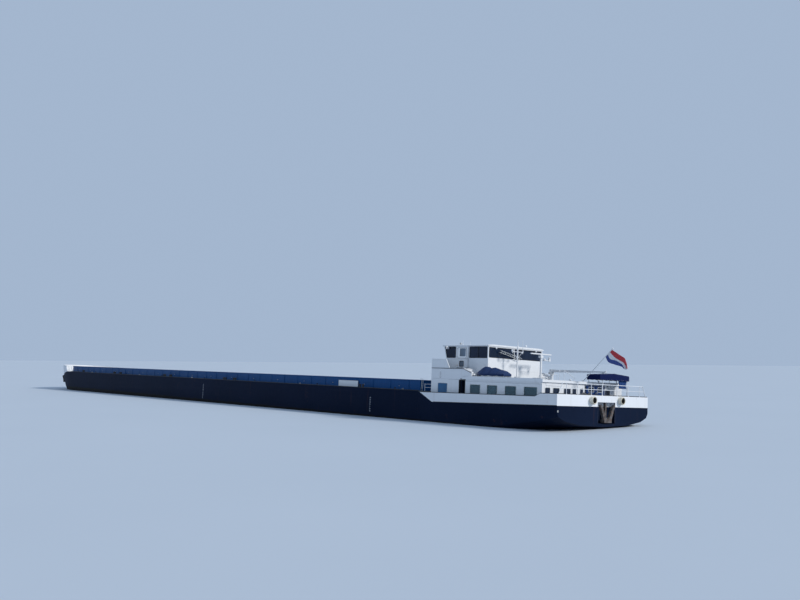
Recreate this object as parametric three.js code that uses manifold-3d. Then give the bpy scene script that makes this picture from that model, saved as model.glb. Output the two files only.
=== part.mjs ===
// River barge: a self-propelled cargo vessel with an open hold, modelled at one tenth of its size.
// Lengths are millimetres of the model. s runs forward from the transom, y to port, z up from the
// flat bottom; MID moves s so that the middle of the bounding box lies at x = 0.
import * as THREE from 'three';
import { mergeVertices } from 'three/addons/utils/BufferGeometryUtils.js';
import Module from 'manifold-3d';

const wasm = await Module();
wasm.setup();

// driving dimensions
const LENGTH = 11000;                     // transom to stem head
const HALF = 572.5;                       // half breadth
const FLAG_AFT = 195;                     // reach of the flag behind the transom
const MID = (LENGTH - FLAG_AFT) / 2;
const GAP = 0.3;                          // between pieces that touch
const DECK = 360;                         // gangway beside the hold
const LOW_DECK = 345;                     // foredeck and aft deck
const HOLD = { aft: 1560, fore: 10125, half: 475, floor: 60 };
const PLATE = 12;                         // bulwark plating of the stern
const COAMING = { wall: 12, top: 453, lip: 7 };
const HOUSE = { aft: 197, fore: 1392, half: 502, wall: 10, top: 472 };
const CAR_DECK = { aft: 185, fore: 1022, half: 512, top: 490 };
const BRIDGE_DECK = 560;
const CAB = { aft: 900, fore: 1388, lean: 31, half: 342, wall: 8, sill: 654, head: 745, top: 750 };
const PROP = { s: 250, y: 230, z: 68, r: 60 };
const TUNNEL = 68;
const RUDDER_S = 130;
const CRANE = { s: 860, y: -430, z: 582, reach: 560 };
const RADAR = { s: 735, y: -127, z: 703, half: 130 };
const MAST = { s: 790, y: 105, z: 500 };
const FOREMAST = { s: 10330, z: 362, length: 300 };
const WINDLASS = { s: 10680, z: 385, drum: 26 };
const WINCH = { s: 84, y: 115, z: 384 };
const ANCHOR_Y = -20;

const COLOURS = {
  navy: [0x18243c, 0.1, 0.5], white: [0xe6eaee, 0.05, 0.45], blue: [0x1f4a82, 0.05, 0.45],
  dark: [0x20242a, 0.1, 0.6], steel: [0x7d8287, 0.6, 0.5], rust: [0x6b5b50, 0.3, 0.8],
  green: [0x4c6152, 0.05, 0.7], brass: [0xa98748, 0.8, 0.4], door: [0x1d4f8f, 0.05, 0.4],
  cloth: [0x1b2f5e, 0, 0.9], flag: [0xb33038, 0, 0.9], seat: [0x2b2b2d, 0, 0.7],
};

// solids
function solid(g) {
  const p = new THREE.BufferGeometry();
  p.setAttribute('position', g.getAttribute('position').clone());
  if (g.index) p.setIndex(g.index.clone());
  const w = mergeVertices(p, 1e-3);
  const tri = [];
  for (let i = 0; i < w.index.count; i += 3) {
    const [a, b, c] = [w.index.getX(i), w.index.getX(i + 1), w.index.getX(i + 2)];
    if (a !== b && b !== c && c !== a) tri.push(a, b, c);
  }
  return new wasm.Manifold(new wasm.Mesh({
    numProp: 3,
    vertProperties: new Float32Array(w.getAttribute('position').array),
    triVerts: new Uint32Array(tri),
  }));
}

function surface(m) {
  const o = m.getMesh();
  const g = new THREE.BufferGeometry();
  g.setAttribute('position', new THREE.BufferAttribute(new Float32Array(o.vertProperties), 3));
  g.setIndex(new THREE.BufferAttribute(new Uint32Array(o.triVerts), 1));
  return g;
}

function add(first, ...rest) {
  return rest.reduce((m, n) => m.add(n), first);
}

function cut(first, ...rest) {
  return rest.reduce((m, n) => m.subtract(n), first);
}

function mirror(m) {
  const g = surface(m);
  g.scale(1, -1, 1);
  const ix = g.index;
  for (let i = 0; i < ix.count; i += 3) {
    const b = ix.getX(i + 1);
    ix.setX(i + 1, ix.getX(i + 2));
    ix.setX(i + 2, b);
  }
  return solid(g);
}

function moved(m, x, y, z) {
  return solid(surface(m).translate(x, y, z));
}

function box(s0, s1, y0, y1, z0, z1) {
  const g = new THREE.BoxGeometry(s1 - s0, y1 - y0, z1 - z0);
  return solid(g.translate((s0 + s1) / 2, (y0 + y1) / 2, (z0 + z1) / 2));
}

function rod(from, to, r, sides = 8, r2 = r) {
  const [a, b] = [new THREE.Vector3(...from), new THREE.Vector3(...to)];
  const g = new THREE.CylinderGeometry(r2, r, a.distanceTo(b), sides);
  const up = new THREE.Vector3(0, 1, 0);
  g.applyQuaternion(new THREE.Quaternion().setFromUnitVectors(up, b.clone().sub(a).normalize()));
  g.translate((a.x + b.x) / 2, (a.y + b.y) / 2, (a.z + b.z) / 2);
  return solid(g);
}

function extruded(points, depth) {
  const shape = new THREE.Shape(points.map(([a, b]) => new THREE.Vector2(a, b)));
  return new THREE.ExtrudeGeometry(shape, { depth, bevelEnabled: false, steps: 1 });
}

// outline in s and z, stretched from y0 to y1
function sideways(points, y0, y1) {
  return solid(extruded(points, y1 - y0).rotateX(Math.PI / 2).translate(0, y1, 0));
}

// outline in s and y, stretched from z0 to z1
function upward(points, z0, z1) {
  return solid(extruded(points, z1 - z0).translate(0, 0, z0));
}

// outline in y and z, stretched from s0 to s1
function forward(points, s0, s1) {
  const turn = new THREE.Matrix4().set(0, 0, 1, 0, 1, 0, 0, 0, 0, 1, 0, 0, 0, 0, 0, 1);
  return solid(extruded(points, s1 - s0).applyMatrix4(turn).translate(s0, 0, 0));
}

// profile of radius and distance, turned about a line along s
function turned(profile, s, y, z, sides = 16) {
  const pts = profile.map(([r, d]) => new THREE.Vector2(r, d));
  pts.push(pts[0].clone());
  const g = new THREE.LatheGeometry(pts, sides);
  const m = solid(g.rotateZ(-Math.PI / 2).translate(s, y, z));
  return m;
}

// hull form: girth lines from keel to rail. z and y amidships, reach and start of the bow curve,
// fullness of that curve, and z and y at the transom
const GIRTH = [
  { z: 0, y: 0, reach: 10640, from: 9650, full: 2.1, az: 158, ay: 0 },
  { z: 0, y: 520, reach: 10640, from: 9650, full: 2.1, az: 170, ay: 300 },
  { z: 15, y: 557, reach: 10680, from: 9690, full: 2.15, az: 195, ay: 470 },
  { z: 52, y: 572.5, reach: 10730, from: 9750, full: 2.2, az: 228, ay: 552 },
  { z: 120, y: 572.5, reach: 10800, from: 9840, full: 2.3, az: 262, ay: 572.5 },
  { z: 250, y: 572.5, reach: 10912.116, from: 9930, full: 2.4, az: 300, ay: 572.5 },
  { z: 500, y: 572.5, reach: 11012.116, from: 10000, full: 2.45, az: 500, ay: 572.5 },
];
const STERN = [0, 150, 300, 480, 700, 1000, 1400];
const BOW_STEPS = 9;

function hullGrid(inset) {
  const grid = [];
  for (const s of STERN) {
    const f = Math.pow(1 - s / 1400, 1.6);
    grid.push(GIRTH.map((g) => [s, Math.max(g.y + (g.ay - g.y) * f - (g.y ? inset : 0), 0),
      g.z + (g.az - g.z) * f]));
  }
  for (let j = 0; j <= BOW_STEPS; j += 1) {
    const a = (j / BOW_STEPS) * Math.PI / 2;
    grid.push(GIRTH.map((g) => {
      const e = 2 / g.full;
      const s = g.from + (g.reach - inset - g.from) * Math.pow(Math.sin(a), e);
      const y = j === BOW_STEPS ? 0 : Math.max(g.y - (g.y ? inset : 0), 0) * Math.pow(Math.cos(a), e);
      return [s, y, g.z];
    }));
  }
  return grid;
}

function hullForm(inset = 0) {
  const grid = hullGrid(inset);
  const [n, k] = [grid.length, GIRTH.length];
  const pos = [];
  for (const side of [1, -1]) {
    for (const line of grid) for (const [s, y, z] of line) pos.push(s, y * side, z);
  }
  const P = (i, j) => i * k + j;
  const Q = (i, j) => n * k + i * k + j;
  const tri = [];
  for (let i = 0; i < n - 1; i += 1) {
    for (let j = 0; j < k - 1; j += 1) {
      tri.push(P(i, j), P(i, j + 1), P(i + 1, j + 1), P(i, j), P(i + 1, j + 1), P(i + 1, j));
      tri.push(Q(i, j), Q(i + 1, j + 1), Q(i, j + 1), Q(i, j), Q(i + 1, j), Q(i + 1, j + 1));
    }
    const t = k - 1;
    tri.push(Q(i, t), Q(i + 1, t), P(i + 1, t), Q(i, t), P(i + 1, t), P(i, t));
  }
  for (let j = 1; j < k - 1; j += 1) {
    tri.push(P(0, 0), P(0, j + 1), P(0, j), P(0, 0), Q(0, j), Q(0, j + 1));
  }
  tri.push(P(0, 0), Q(0, k - 1), P(0, k - 1));
  const g = new THREE.BufferGeometry();
  g.setAttribute('position', new THREE.Float32BufferAttribute(pos, 3));
  g.setIndex(tri);
  return solid(g);
}

// half breadth of the bow at one height and one s
function bowHalf(s, z) {
  const at = (g) => {
    const u = Math.min(Math.max((s - g.from) / (g.reach - g.from), 0), 1);
    return g.y * Math.pow(1 - Math.pow(u, g.full), 1 / g.full);
  };
  for (let i = 1; i < GIRTH.length - 1; i += 1) {
    const [a, b] = [GIRTH[i], GIRTH[i + 1]];
    if (z <= b.z) return at(a) + (at(b) - at(a)) * (z - a.z) / (b.z - a.z);
  }
  return 0;
}

// where the white bands meet the navy hull
const AFT_EDGE = [[-10, 308], [1297, 274], [1475, 360]];
const BOW_EDGE = [[10150, 360], [10290, 345], [10560, 285], [11030, 300]];

function cabinPocket() {
  return box(220, 1330, -430, 430, 240, LOW_DECK + 5);
}

function forepeak() {
  return add(box(10330, 10620, -330, 330, 150, 332), box(10400, 10470, -235, -165, 325, 352));
}

function anchorRecess() {
  return box(-10, 42, ANCHOR_Y - 108, ANCHOR_Y + 108, 184, 340);
}

function makeHull(form) {
  const under = [[-10, -10], [11030, -10], ...[...BOW_EDGE].reverse(), ...[...AFT_EDGE].reverse()];
  let hull = form.intersect(sideways(under, -600, 600));
  hull = cut(hull, box(HOLD.aft, HOLD.fore, -HOLD.half, HOLD.half, HOLD.floor, 400));
  hull = cut(hull, cabinPocket(), forepeak(), anchorRecess());
  for (const side of [1, -1]) {
    const y = PROP.y * side;
    hull = cut(hull, rod([-20, y, PROP.z], [560, y, PROP.z], TUNNEL, 16));
    hull = cut(hull, rod([559, y, PROP.z], [760, y, PROP.z], TUNNEL, 16, 24));
    hull = cut(hull, rod([700, y, PROP.z], [860, y, PROP.z], 7.4, 10));
    hull = cut(hull, rod([RUDDER_S, y, 100], [RUDDER_S, y, 215], 9.4, 10));
  }
  return hull;
}

// the white band round the stern, whole: the next three functions take their shares of it
function aftBand(form) {
  const band = [[-10, 308 + GAP], [1297, 274 + GAP], [1453, 350], [202, 366], [156, 389.5], [-10, 392]];
  return cut(form.intersect(sideways(band, -600, 600)), anchorRecess());
}

function mooringHoles() {
  return add(...[[169, 355], [-192, 357]].map(([y, z]) => rod([-20, y, z], [44, y, z], 24, 16)));
}

function makeTransom(band) {
  return cut(band.intersect(box(-20, PLATE, -600, 600, 200, 400)), mooringHoles());
}

function makeAftBulwark(band, side) {
  const plate = band.intersect(box(PLATE + GAP, 1480, HALF - PLATE, 600, 200, 400));
  const drained = cut(plate, box(1290, 1330, 548, 564, 345.1, 352));
  return side > 0 ? drained : mirror(drained);
}

function makeAftBody(band) {
  const y = HALF - PLATE - GAP;
  return cut(band.intersect(box(PLATE + GAP, 1480, -y, y, 200, LOW_DECK)), cabinPocket(), mooringHoles());
}

function makeBowBody(form) {
  const band = [[10151, 360 + GAP], [10290, 345 + GAP], [10560, 285 + GAP], [11030, 300 + GAP],
    [11030, 470.579], [10250, 448], [10180, 372]];
  let body = form.intersect(sideways(band, -600, 600));
  const inner = hullForm(11).intersect(box(10100, 11100, -600, 600, LOW_DECK, 600));
  body = cut(body, inner, forepeak());
  for (const side of [1, -1]) {
    body = cut(body, rod([10500, side * 300, 392], [10500, side * 600, 392], 16, 12));
  }
  body = add(body, box(10394, 10400, -241, -159, 344, 352), box(10470, 10476, -241, -159, 344, 352));
  return add(body, box(10394, 10476, -241, -235, 344, 352), box(10394, 10476, -165, -159, 344, 352));
}

function makeCoaming() {
  const { wall, top, lip } = COAMING;
  const [a, f, h] = [HOLD.aft, HOLD.fore, HOLD.half];
  const ring = box(a - wall, f + wall, -h - wall, h + wall, DECK + GAP, top);
  const flange = box(a - wall - lip, f + wall + lip, -h - wall - lip, h + wall + lip, top - 8, top);
  return cut(add(ring, flange), box(a, f, -h, h, 300, 500));
}

function makeGunwale(side) {
  const rail = box(1480, 10010, 558, 571.5, DECK + GAP, DECK + 6);
  return side > 0 ? rail : mirror(rail);
}

const SIDE_WINDOWS = [[820, 934], [639, 748], [445, 559], [241, 369]];
const AFT_WINDOWS = [[409, 466], [300, 374], [165, 245], [-340, -270]];

function makeHouse() {
  const { aft, fore, half, wall, top } = HOUSE;
  let house = box(aft, fore, -half, half, LOW_DECK + GAP, top);
  house = cut(house, box(aft + wall, fore - wall, -half + wall, half - wall, 300, 500));
  for (const [a, b] of SIDE_WINDOWS) house = cut(house, box(a, b, -600, 600, 360, 433));
  house = cut(house, box(1195, 1309, -600, 600, 354, 435));
  house = cut(house, box(992, 1056, -600, 600, 348, 466));
  for (const [y0, y1] of AFT_WINDOWS) house = cut(house, box(aft - 20, aft + 20, y0, y1, 385, 433));
  house = cut(house, box(aft - 20, aft + 20, -244, -22, 348, 462));
  for (const y of [-18, -248]) {
    house = add(house, box(182, 199, y - 4, y + 4, 347, 351.7), box(182, 199, y - 4, y + 4, 466.3, 470));
  }
  for (const y of [478, -494]) {
    house = add(house, box(1050, 1060, y - 2, y + 18, 347.6, 351.7), box(1050, 1060, y - 2, y + 18, 462.3, 466));
  }
  return house;
}

function makeCarDeck() {
  const { aft, fore, half, top } = CAR_DECK;
  let deck = box(aft, fore, -half, half, HOUSE.top + GAP, top);
  deck = add(deck, box(aft, fore - 40, half - 6, half, top - 1, top + 6));
  deck = add(deck, box(aft, fore - 40, -half, -half + 6, top - 1, top + 6));
  const { s, y } = MAST;
  return add(deck, box(s - 12, s + 12, y + 9, y + 17, top - 1, top + 22),
    box(s - 12, s + 12, y - 17, y - 9, top - 1, top + 22));
}

function makeBridgeBlock() {
  const { half, fore, wall, top } = HOUSE;
  let block = box(CAR_DECK.fore + GAP, fore, -half, half, top + GAP, BRIDGE_DECK);
  block = cut(block, box(CAR_DECK.fore + wall, fore - wall, -half + wall, half - wall, 400, 552));
  const trunk = box(CAB.aft, CAR_DECK.fore + 2, -CAB.half, CAB.half, CAR_DECK.top + GAP, BRIDGE_DECK);
  block = add(block, trunk);
  block = cut(block, box(CAB.aft + wall, 1060, -CAB.half + wall, CAB.half - wall, 480, 552));
  const cheek = [[1024, 491], [1024, 557], [1010, 557], [920, 524], [920, 491]];
  const steps = [[1024, 491], [1024, 552], [1002, 552], [1002, 537], [981, 537], [981, 522],
    [960, 522], [960, 507], [940, 507], [940, 491]];
  for (const side of [1, -1]) {
    const put = (m) => (side > 0 ? m : mirror(m));
    block = add(block, put(sideways(cheek, half - 8, half)), put(sideways(steps, 420, half - 4)));
  }
  block = cut(block, box(1194, 1266, -36, 36, 500, 570));
  return cut(block, box(fore - 20, fore + 20, -300, 300, 490, 530));
}

function makeWing(side) {
  const { half, fore } = HOUSE;
  const foot = BRIDGE_DECK + GAP;
  const panel = sideways([[1187, foot], [fore, foot], [fore, 633], [1223, 630]], half - 8, half);
  const wing = add(panel, box(fore - 8, fore, 350, half, foot, 633));
  return side > 0 ? wing : mirror(wing);
}

const CAB_SIDE = [[1273, 1379], [908, 1108]];

function makeCab() {
  const { aft, fore, lean, half, wall, sill, head, top } = CAB;
  const floor = BRIDGE_DECK + GAP;
  const outer = [[aft, floor], [fore, floor], [fore, sill], [fore + lean, top], [aft, top]];
  const [a, f] = [aft + wall, fore - wall];
  const inner = [[a, floor + 8], [f, floor + 8], [f, sill], [f + lean + 2, top + 5], [a, top + 5]];
  let cab = cut(sideways(outer, -half, half), sideways(inner, -half + wall, half - wall));
  for (const [s0, s1] of CAB_SIDE) {
    const over = s1 === 1379 ? 24 : 0;
    const pane = [[s0, sill], [s1, sill], [s1 + over, head], [s0, head]];
    cab = cut(cab, sideways(pane, -400, 400));
  }
  cab = cut(cab, box(1122, 1245, -400, 400, 574, 742));
  for (const [y0, y1] of [[27, 328], [-328, 19]]) {
    cab = cut(cab, box(aft - 20, aft + 20, y0, y1, sill + 6, head - 4));
  }
  for (const [y0, y1] of [[118, 328], [-110, 110], [-328, -118]]) {
    cab = cut(cab, box(fore - 40, fore + 80, y0, y1, sill + 4, head - 2));
  }
  for (const y of [half, -half]) {
    const [y0, y1] = [Math.min(y - 1, y + Math.sign(y) * 13), Math.max(y + 1, y + Math.sign(y) * 13)];
    cab = add(cab, box(1246, 1256, y0, y1, 564, 571.7), box(1246, 1256, y0, y1, 746.3, 749.5));
  }
  return add(cab, box(1200, 1260, -30, 30, 352, floor + 4));
}

function makeCabRoof() {
  const [a, f, h] = [CAB.aft - 7, CAB.fore + CAB.lean + 8, CAB.half + 7];
  const camber = [[-h, 750.3], [h, 750.3], [h, 760], [h - 60, 766], [-h + 60, 766], [-h, 760]];
  return forward(camber, a, f);
}

function makeCabDoor(side) {
  let leaf = box(1116, 1251, CAB.half + 6, CAB.half + 12, 572, 746);
  leaf = cut(leaf, box(1135, 1232, 340, 360, 652, 736), box(1164, 1211, 340, 360, 580, 624));
  leaf = add(leaf, rod([1251, CAB.half + 9, 572], [1251, CAB.half + 9, 746], 3.5, 8));
  leaf = add(leaf, box(1121, 1127, CAB.half + 10, CAB.half + 18, 636, 650));
  return side > 0 ? leaf : mirror(leaf);
}

function makeSideDoor(side) {
  let leaf = box(1051, 1057, 410, 480, 352, 462);
  leaf = add(leaf, rod([1055, 480, 352], [1055, 480, 462], 4, 8));
  leaf = add(leaf, box(1045, 1052, 414, 421, 404, 412));
  return side > 0 ? leaf : mirror(leaf);
}

function makeAftDoor(y0, y1, hinge) {
  const leaf = box(183, 189, y0, y1, 352, 466);
  const inner = hinge > (y0 + y1) / 2 ? y0 : y1;
  const grip = box(175, 184, inner - (inner === y0 ? -4 : 10), inner + (inner === y0 ? 10 : -4), 404, 412);
  return add(leaf, rod([186, hinge, 352], [186, hinge, 466], 3.5, 8), grip);
}

function makeConsole() {
  const face = [[1270, 569], [1372, 569], [1372, 640], [1310, 648], [1270, 628]];
  const desk = sideways(face, -230, 230);
  return add(desk, box(1210, 1275, 140, 230, 569, 632), rod([1280, 0, 630], [1260, 0, 652], 3, 8),
    rod([1258, -20, 652], [1258, 20, 652], 3, 8));
}

function makeSeat() {
  const base = add(rod([1190, 0, 569], [1190, 0, 572], 22, 12), rod([1190, 0, 571], [1190, 0, 602], 6, 8));
  return add(base, box(1164, 1216, -26, 26, 600, 610), box(1160, 1168, -24, 24, 604, 668),
    box(1172, 1206, -32, -25, 606, 628), box(1172, 1206, 25, 32, 606, 628));
}

function makeRadarPost() {
  const { s, y, z } = RADAR;
  const post = add(rod([s, y, CAR_DECK.top + GAP], [s, y, z - 18], 7, 8),
    box(s - 22, s + 22, y - 22, y + 22, CAR_DECK.top + GAP, CAR_DECK.top + 5));
  const arm = rod([s, y, 660], [s, y - 110, 660], 3.5, 6);
  return add(post, box(s - 13, s + 13, y - 16, y + 16, z - 24, z - 5), arm,
    box(s - 7, s + 7, y - 118, y - 102, 655, 676));
}

function makeScanner() {
  const { s, y, z, half } = RADAR;
  const bar = box(s - 6, s + 6, y - half, y + half, z + 3, z + 13);
  return add(bar, rod([s, y, z - 4.6], [s, y, z + 5], 6, 8));
}

function makeMast() {
  const { s, y, z } = MAST;
  let mast = add(rod([s, y - 8.6, z], [s, y + 8.6, z], 6, 8), rod([s, y, z - 4], [s, y, 756], 5, 8));
  mast = add(mast, rod([s, y - 70, 716], [s, y + 70, 716], 3, 6));
  mast = add(mast, rod([s, y, 752], [s, y, 815], 1.8, 6), rod([s, y - 62, 714], [s, y - 62, 815], 1.8, 6));
  return add(mast, box(s - 6, s + 6, y + 58, y + 70, 716, 734));
}

function makeCranePost() {
  const { s, y, z } = CRANE;
  const base = box(s - 30, s + 30, y - 30, y + 30, CAR_DECK.top + GAP, CAR_DECK.top + 6);
  return add(base, rod([s, y, CAR_DECK.top + 3], [s, y, z - 26], 15, 12));
}

function makeCraneHead() {
  const { s, y, z } = CRANE;
  let head = rod([s, y, z - 25.5], [s, y, z - 18], 19, 12);
  for (const d of [-1, 1]) {
    const a = Math.min(d * 13, d * 18);
    head = add(head, box(s - 13, s + 13, y + a, y + a + 5, z - 20, z + 13));
  }
  return add(head, rod([s, y - 20, z], [s, y + 20, z], 3, 8));
}

function makeBoom() {
  const { s, y, z, reach } = CRANE;
  const shape = [[s + 5, z - 11], [s + 11, z - 5], [s + 11, z + 5], [s + 5, z + 11], [s - 40, z + 11],
    [s - reach, z + 5], [s - reach, z - 5], [s - 40, z - 11]];
  let boom = cut(sideways(shape, y - 8, y + 8), rod([s, y - 30, z], [s, y + 30, z], 3.6, 8));
  boom = add(boom, rod([s - reach + 8, y, z], [s - reach + 8, y, z - 22], 2, 6));
  return add(boom, box(s - reach + 2, s - reach + 14, y - 5, y + 5, z - 34, z - 20));
}

function makeSternRail() {
  const foot = 392 + GAP;
  let rail = rod([6, -507, 474], [6, 507, 474], 2.5, 6);
  for (const side of [1, -1]) {
    rail = add(rail, rod([6, side * 549, 389], [6, side * 505, 474], 2.5, 6));
  }
  rail = add(rail, rod([6, -526, 434], [6, 526, 434], 2, 6));
  for (const y of [-460, -309, -160, 31, 165, 330, 460]) {
    rail = add(rail, rod([6, y, foot], [6, y, 474], 2.3, 6));
  }
  return cut(rail, box(-20, 30, -600, 600, 360, foot));
}

function makeSternAnchor() {
  const fluke = [[6, 196], [40, 194], [92, 318], [84, 326], [58, 300], [24, 232], [6, 224]];
  let anchor = add(forward(fluke, -14, 6), mirror(forward(fluke, -14, 6)));
  anchor = add(anchor, box(-16, 20, -46, 46, 190, 218), box(6, 24, -8, 8, 200, 339.7));
  return moved(anchor, 0, ANCHOR_Y, 0);
}

function makeFairlead(y, z) {
  return turned([[19.5, -26], [23, -30], [29, -29], [31.5, -23], [28, -15], [27, -7], [30, -3], [30, -0.4],
    [23.4, -0.4], [23.4, 13], [19.5, 13]], 0, y, z, 16);
}

function makeStaff() {
  const staff = rod([212, 0, CAR_DECK.top + GAP], [-58, 0, 747], 3.2, 8);
  const flat = box(100, 300, -50, 50, 400, CAR_DECK.top + GAP);
  return add(cut(staff, flat), rod([-56, 0, 744], [-62, 0, 751], 5.5, 8));
}

function makeFlag() {
  return sideways([[-48.4, 733], [21.1, 667], [-112, 598], [-FLAG_AFT, 590]], -2, 2);
}

function makeAwningFrame() {
  const [s0, s1, y0, y1, z] = [105, 205, -440, -72, 545];
  let frame = add(rod([s0, y0 - 3, z], [s0, y1 + 3, z], 3, 6), rod([s1, y0 - 3, z], [s1, y1 + 3, z], 3, 6));
  for (const y of [y0, y1]) {
    frame = add(frame, rod([s0, y, z], [s1, y, z], 3, 6));
    frame = add(frame, rod([s1, y, CAR_DECK.top + GAP], [s1, y, z], 3, 6));
  }
  for (const y of [y0, y1 - 42]) frame = add(frame, rod([s0, y, LOW_DECK + GAP], [s0, y, z], 3, 6));
  return frame;
}

function makeAwning() {
  const hood = forward([[-452, 512], [-60, 512], [-60, 553], [-256, 566], [-452, 553]], 92, 218);
  return cut(hood, forward([[-449, 500], [-63, 500], [-63, 547.9], [-256, 562], [-449, 547.9]], 95, 215));
}

function makeWinchFrame() {
  const { s, y, z } = WINCH;
  let frame = box(s - 34, s + 34, y - 58, y + 58, LOW_DECK + GAP, LOW_DECK + 6);
  for (const d of [-1, 1]) {
    const a = Math.min(d * 46, d * 54);
    frame = add(frame, sideways([[s - 26, 349], [s + 26, 349], [s + 9, z + 9], [s - 9, z + 9]], y + a, y + a + 8));
  }
  return cut(frame, rod([s, y - 70, z], [s, y + 70, z], 5.4, 10));
}

function makeDrum(s, y, z, half, r, stub) {
  const d = rod([s, y - half, z], [s, y + half, z], r * 0.6, 12);
  const flange = (a) => rod([s, y + a, z], [s, y + a + 4, z], r, 14);
  return add(d, flange(-half), flange(half - 4), rod([s, y - stub, z], [s, y + stub, z], 4.8, 10));
}

function makeWindlass() {
  const { s, z } = WINDLASS;
  let frame = box(s - 48, s + 48, -150, 150, LOW_DECK + GAP, LOW_DECK + 7);
  for (const y of [-140, -30, 22, 132]) {
    frame = add(frame, sideways([[s - 30, 350], [s + 30, 350], [s + 10, z + 10], [s - 10, z + 10]], y, y + 8));
  }
  frame = cut(frame, rod([s, -170, z], [s, 170, z], 5.4, 10));
  return add(frame, box(s - 24, s + 24, -23, 23, 350, 378));
}

function makeBowAnchor(side) {
  const fluke = [[5, -4], [34, -6], [78, 92], [66, 100], [20, 28], [5, 24]];
  const half = sideways(fluke, 0, 14);
  const other = sideways(fluke.map(([a, b]) => [-a, b]), 0, 14);
  let anchor = add(half, other, box(-38, 38, -2, 18, -12, 16), box(-8, 8, 1, 13, -6, 104));
  const s = 10560;
  const y = bowHalf(s, 225);
  const lean = Math.atan2(bowHalf(s, 325) - y, 100);
  const heading = Math.atan2(bowHalf(s + 40, 225) - bowHalf(s - 40, 225), 80);
  const g = surface(anchor).rotateX(-lean).rotateZ(heading).translate(s, y - 2, 190);
  anchor = cut(solid(g), hullForm(-GAP));
  return side > 0 ? anchor : mirror(anchor);
}

function makeForemast() {
  const { s, z, length } = FOREMAST;
  let mast = add(rod([s, -11.7, z], [s, 11.7, z], 6, 8), rod([s - 3, 0, z], [s + length, 0, z], 5, 8));
  mast = add(mast, rod([s + length - 60, -40, z], [s + length - 60, 40, z], 3, 6));
  return add(mast, box(s + length - 4, s + length + 12, -7, 7, z - 7, z + 7));
}

function makeForemastFoot() {
  const { s, z } = FOREMAST;
  let foot = box(s - 22, s + 22, -26, 26, LOW_DECK + GAP, LOW_DECK + 5);
  for (const a of [-20, 12]) foot = add(foot, box(s - 10, s + 10, a, a + 8, 348, z + 10));
  return cut(foot, rod([s, -8, z], [s, 8, z], 12, 10));
}

function makeLid() {
  const lid = box(10390, 10480, -245, -155, 352.3, 357);
  return add(lid, rod([10389, -235, 356], [10389, -165, 356], 3, 8), box(10462, 10470, -206, -194, 357, 364));
}

function makeBollards(s, y) {
  let pair = box(s - 50, s + 50, y - 20, y + 20, LOW_DECK + GAP, LOW_DECK + 5);
  for (const d of [-28, 28]) {
    pair = add(pair, rod([s + d, y, 348], [s + d, y, 384], 12, 10), rod([s + d, y, 383], [s + d, y, 388], 15, 10));
  }
  return pair;
}

function makeDinghy() {
  const plan = [[614, 388], [614, 458], [844, 470], [930, 423], [844, 376]];
  const well = [[620, 394], [620, 452], [842, 463], [917, 423], [842, 383]];
  const hull = cut(upward(plan, 500, 522), upward(well, 505, 530));
  return add(hull, box(664, 684, 384, 462, CAR_DECK.top + GAP, 504), box(814, 834, 384, 462, 490.3, 504));
}

function makeDinghyCover() {
  const side = [[606, 522.4], [937, 522.4], [904, 545], [794, 572], [648, 568], [610, 548]];
  const trim = upward([[606, 382], [606, 464], [846, 476], [938, 423], [846, 370]], 500, 600);
  const peak = forward([[366, 522], [480, 522], [476, 540], [440, 572], [406, 572], [370, 540]], 570, 950);
  return sideways(side, 360, 490).intersect(trim).intersect(peak);
}

function makePropeller(side) {
  const { s, z, r } = PROP;
  const y = PROP.y * side;
  let prop = add(rod([s - 16, y, z], [s + 16, y, z], 9, 10, 12), rod([s + 14, y, z], [840, y, z], 6.6, 10));
  prop = add(prop, rod([s - 30, y, z], [s - 15, y, z], 4, 10, 9));
  const outline = [[-6, 6], [6, 6], [17, 24], [20, 40], [12, 54], [0, r], [-12, 54], [-20, 40], [-17, 24]];
  for (let i = 0; i < 4; i += 1) {
    const g = extruded(outline, 3).translate(0, 0, -1.5);
    g.rotateX(Math.PI / 2).rotateZ(side * 0.95).rotateX(i * Math.PI / 2 + 0.4);
    prop = add(prop, solid(g.translate(s, y, z)));
  }
  return prop;
}

function makeRudder(side) {
  const y = PROP.y * side;
  const blade = [[RUDDER_S - 78, 14], [RUDDER_S + 34, 14], [RUDDER_S + 40, 60], [RUDDER_S + 34, 126],
    [RUDDER_S - 70, 126], [RUDDER_S - 82, 60]];
  return add(sideways(blade, y - 4, y + 4), rod([RUDDER_S, y, 20], [RUDDER_S, y, 205], 8.6, 10));
}

const group = new THREE.Group();
group.name = 'river_barge';

function piece(name, shape, colour) {
  const [color, metalness, roughness] = COLOURS[colour];
  const g = surface(shape).translate(-MID, 0, 0);
  g.computeVertexNormals();
  const mesh = new THREE.Mesh(g, new THREE.MeshStandardMaterial({ color, metalness, roughness }));
  mesh.name = name;
  group.add(mesh);
}

const form = hullForm();
const hull = makeHull(form);
piece('hull', cut(hull, box(-20, 1500 + GAP, -600, 600, -20, 500)), 'navy');
piece('hull_stern', hull.intersect(box(-20, 1500, -600, 600, -20, 500)), 'navy');
const band = aftBand(form);
piece('aft_body', makeAftBody(band), 'white');
piece('transom', makeTransom(band), 'white');
piece('aft_bulwark_port', makeAftBulwark(band, 1), 'white');
piece('aft_bulwark_starboard', makeAftBulwark(band, -1), 'white');
piece('bow_bulwark', makeBowBody(form), 'white');
piece('hatch_coaming', makeCoaming(), 'blue');
piece('hold_floor', box(HOLD.aft + 1, HOLD.fore - 1, -HOLD.half + 1, HOLD.half - 1, 60 + GAP, 66), 'rust');
piece('gunwale_port', makeGunwale(1), 'dark');
piece('gunwale_starboard', makeGunwale(-1), 'dark');
piece('deckhouse', makeHouse(), 'white');
piece('car_deck', makeCarDeck(), 'white');
piece('bridge_block', makeBridgeBlock(), 'white');
piece('bridge_wing_port', makeWing(1), 'white');
piece('bridge_wing_starboard', makeWing(-1), 'white');
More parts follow.
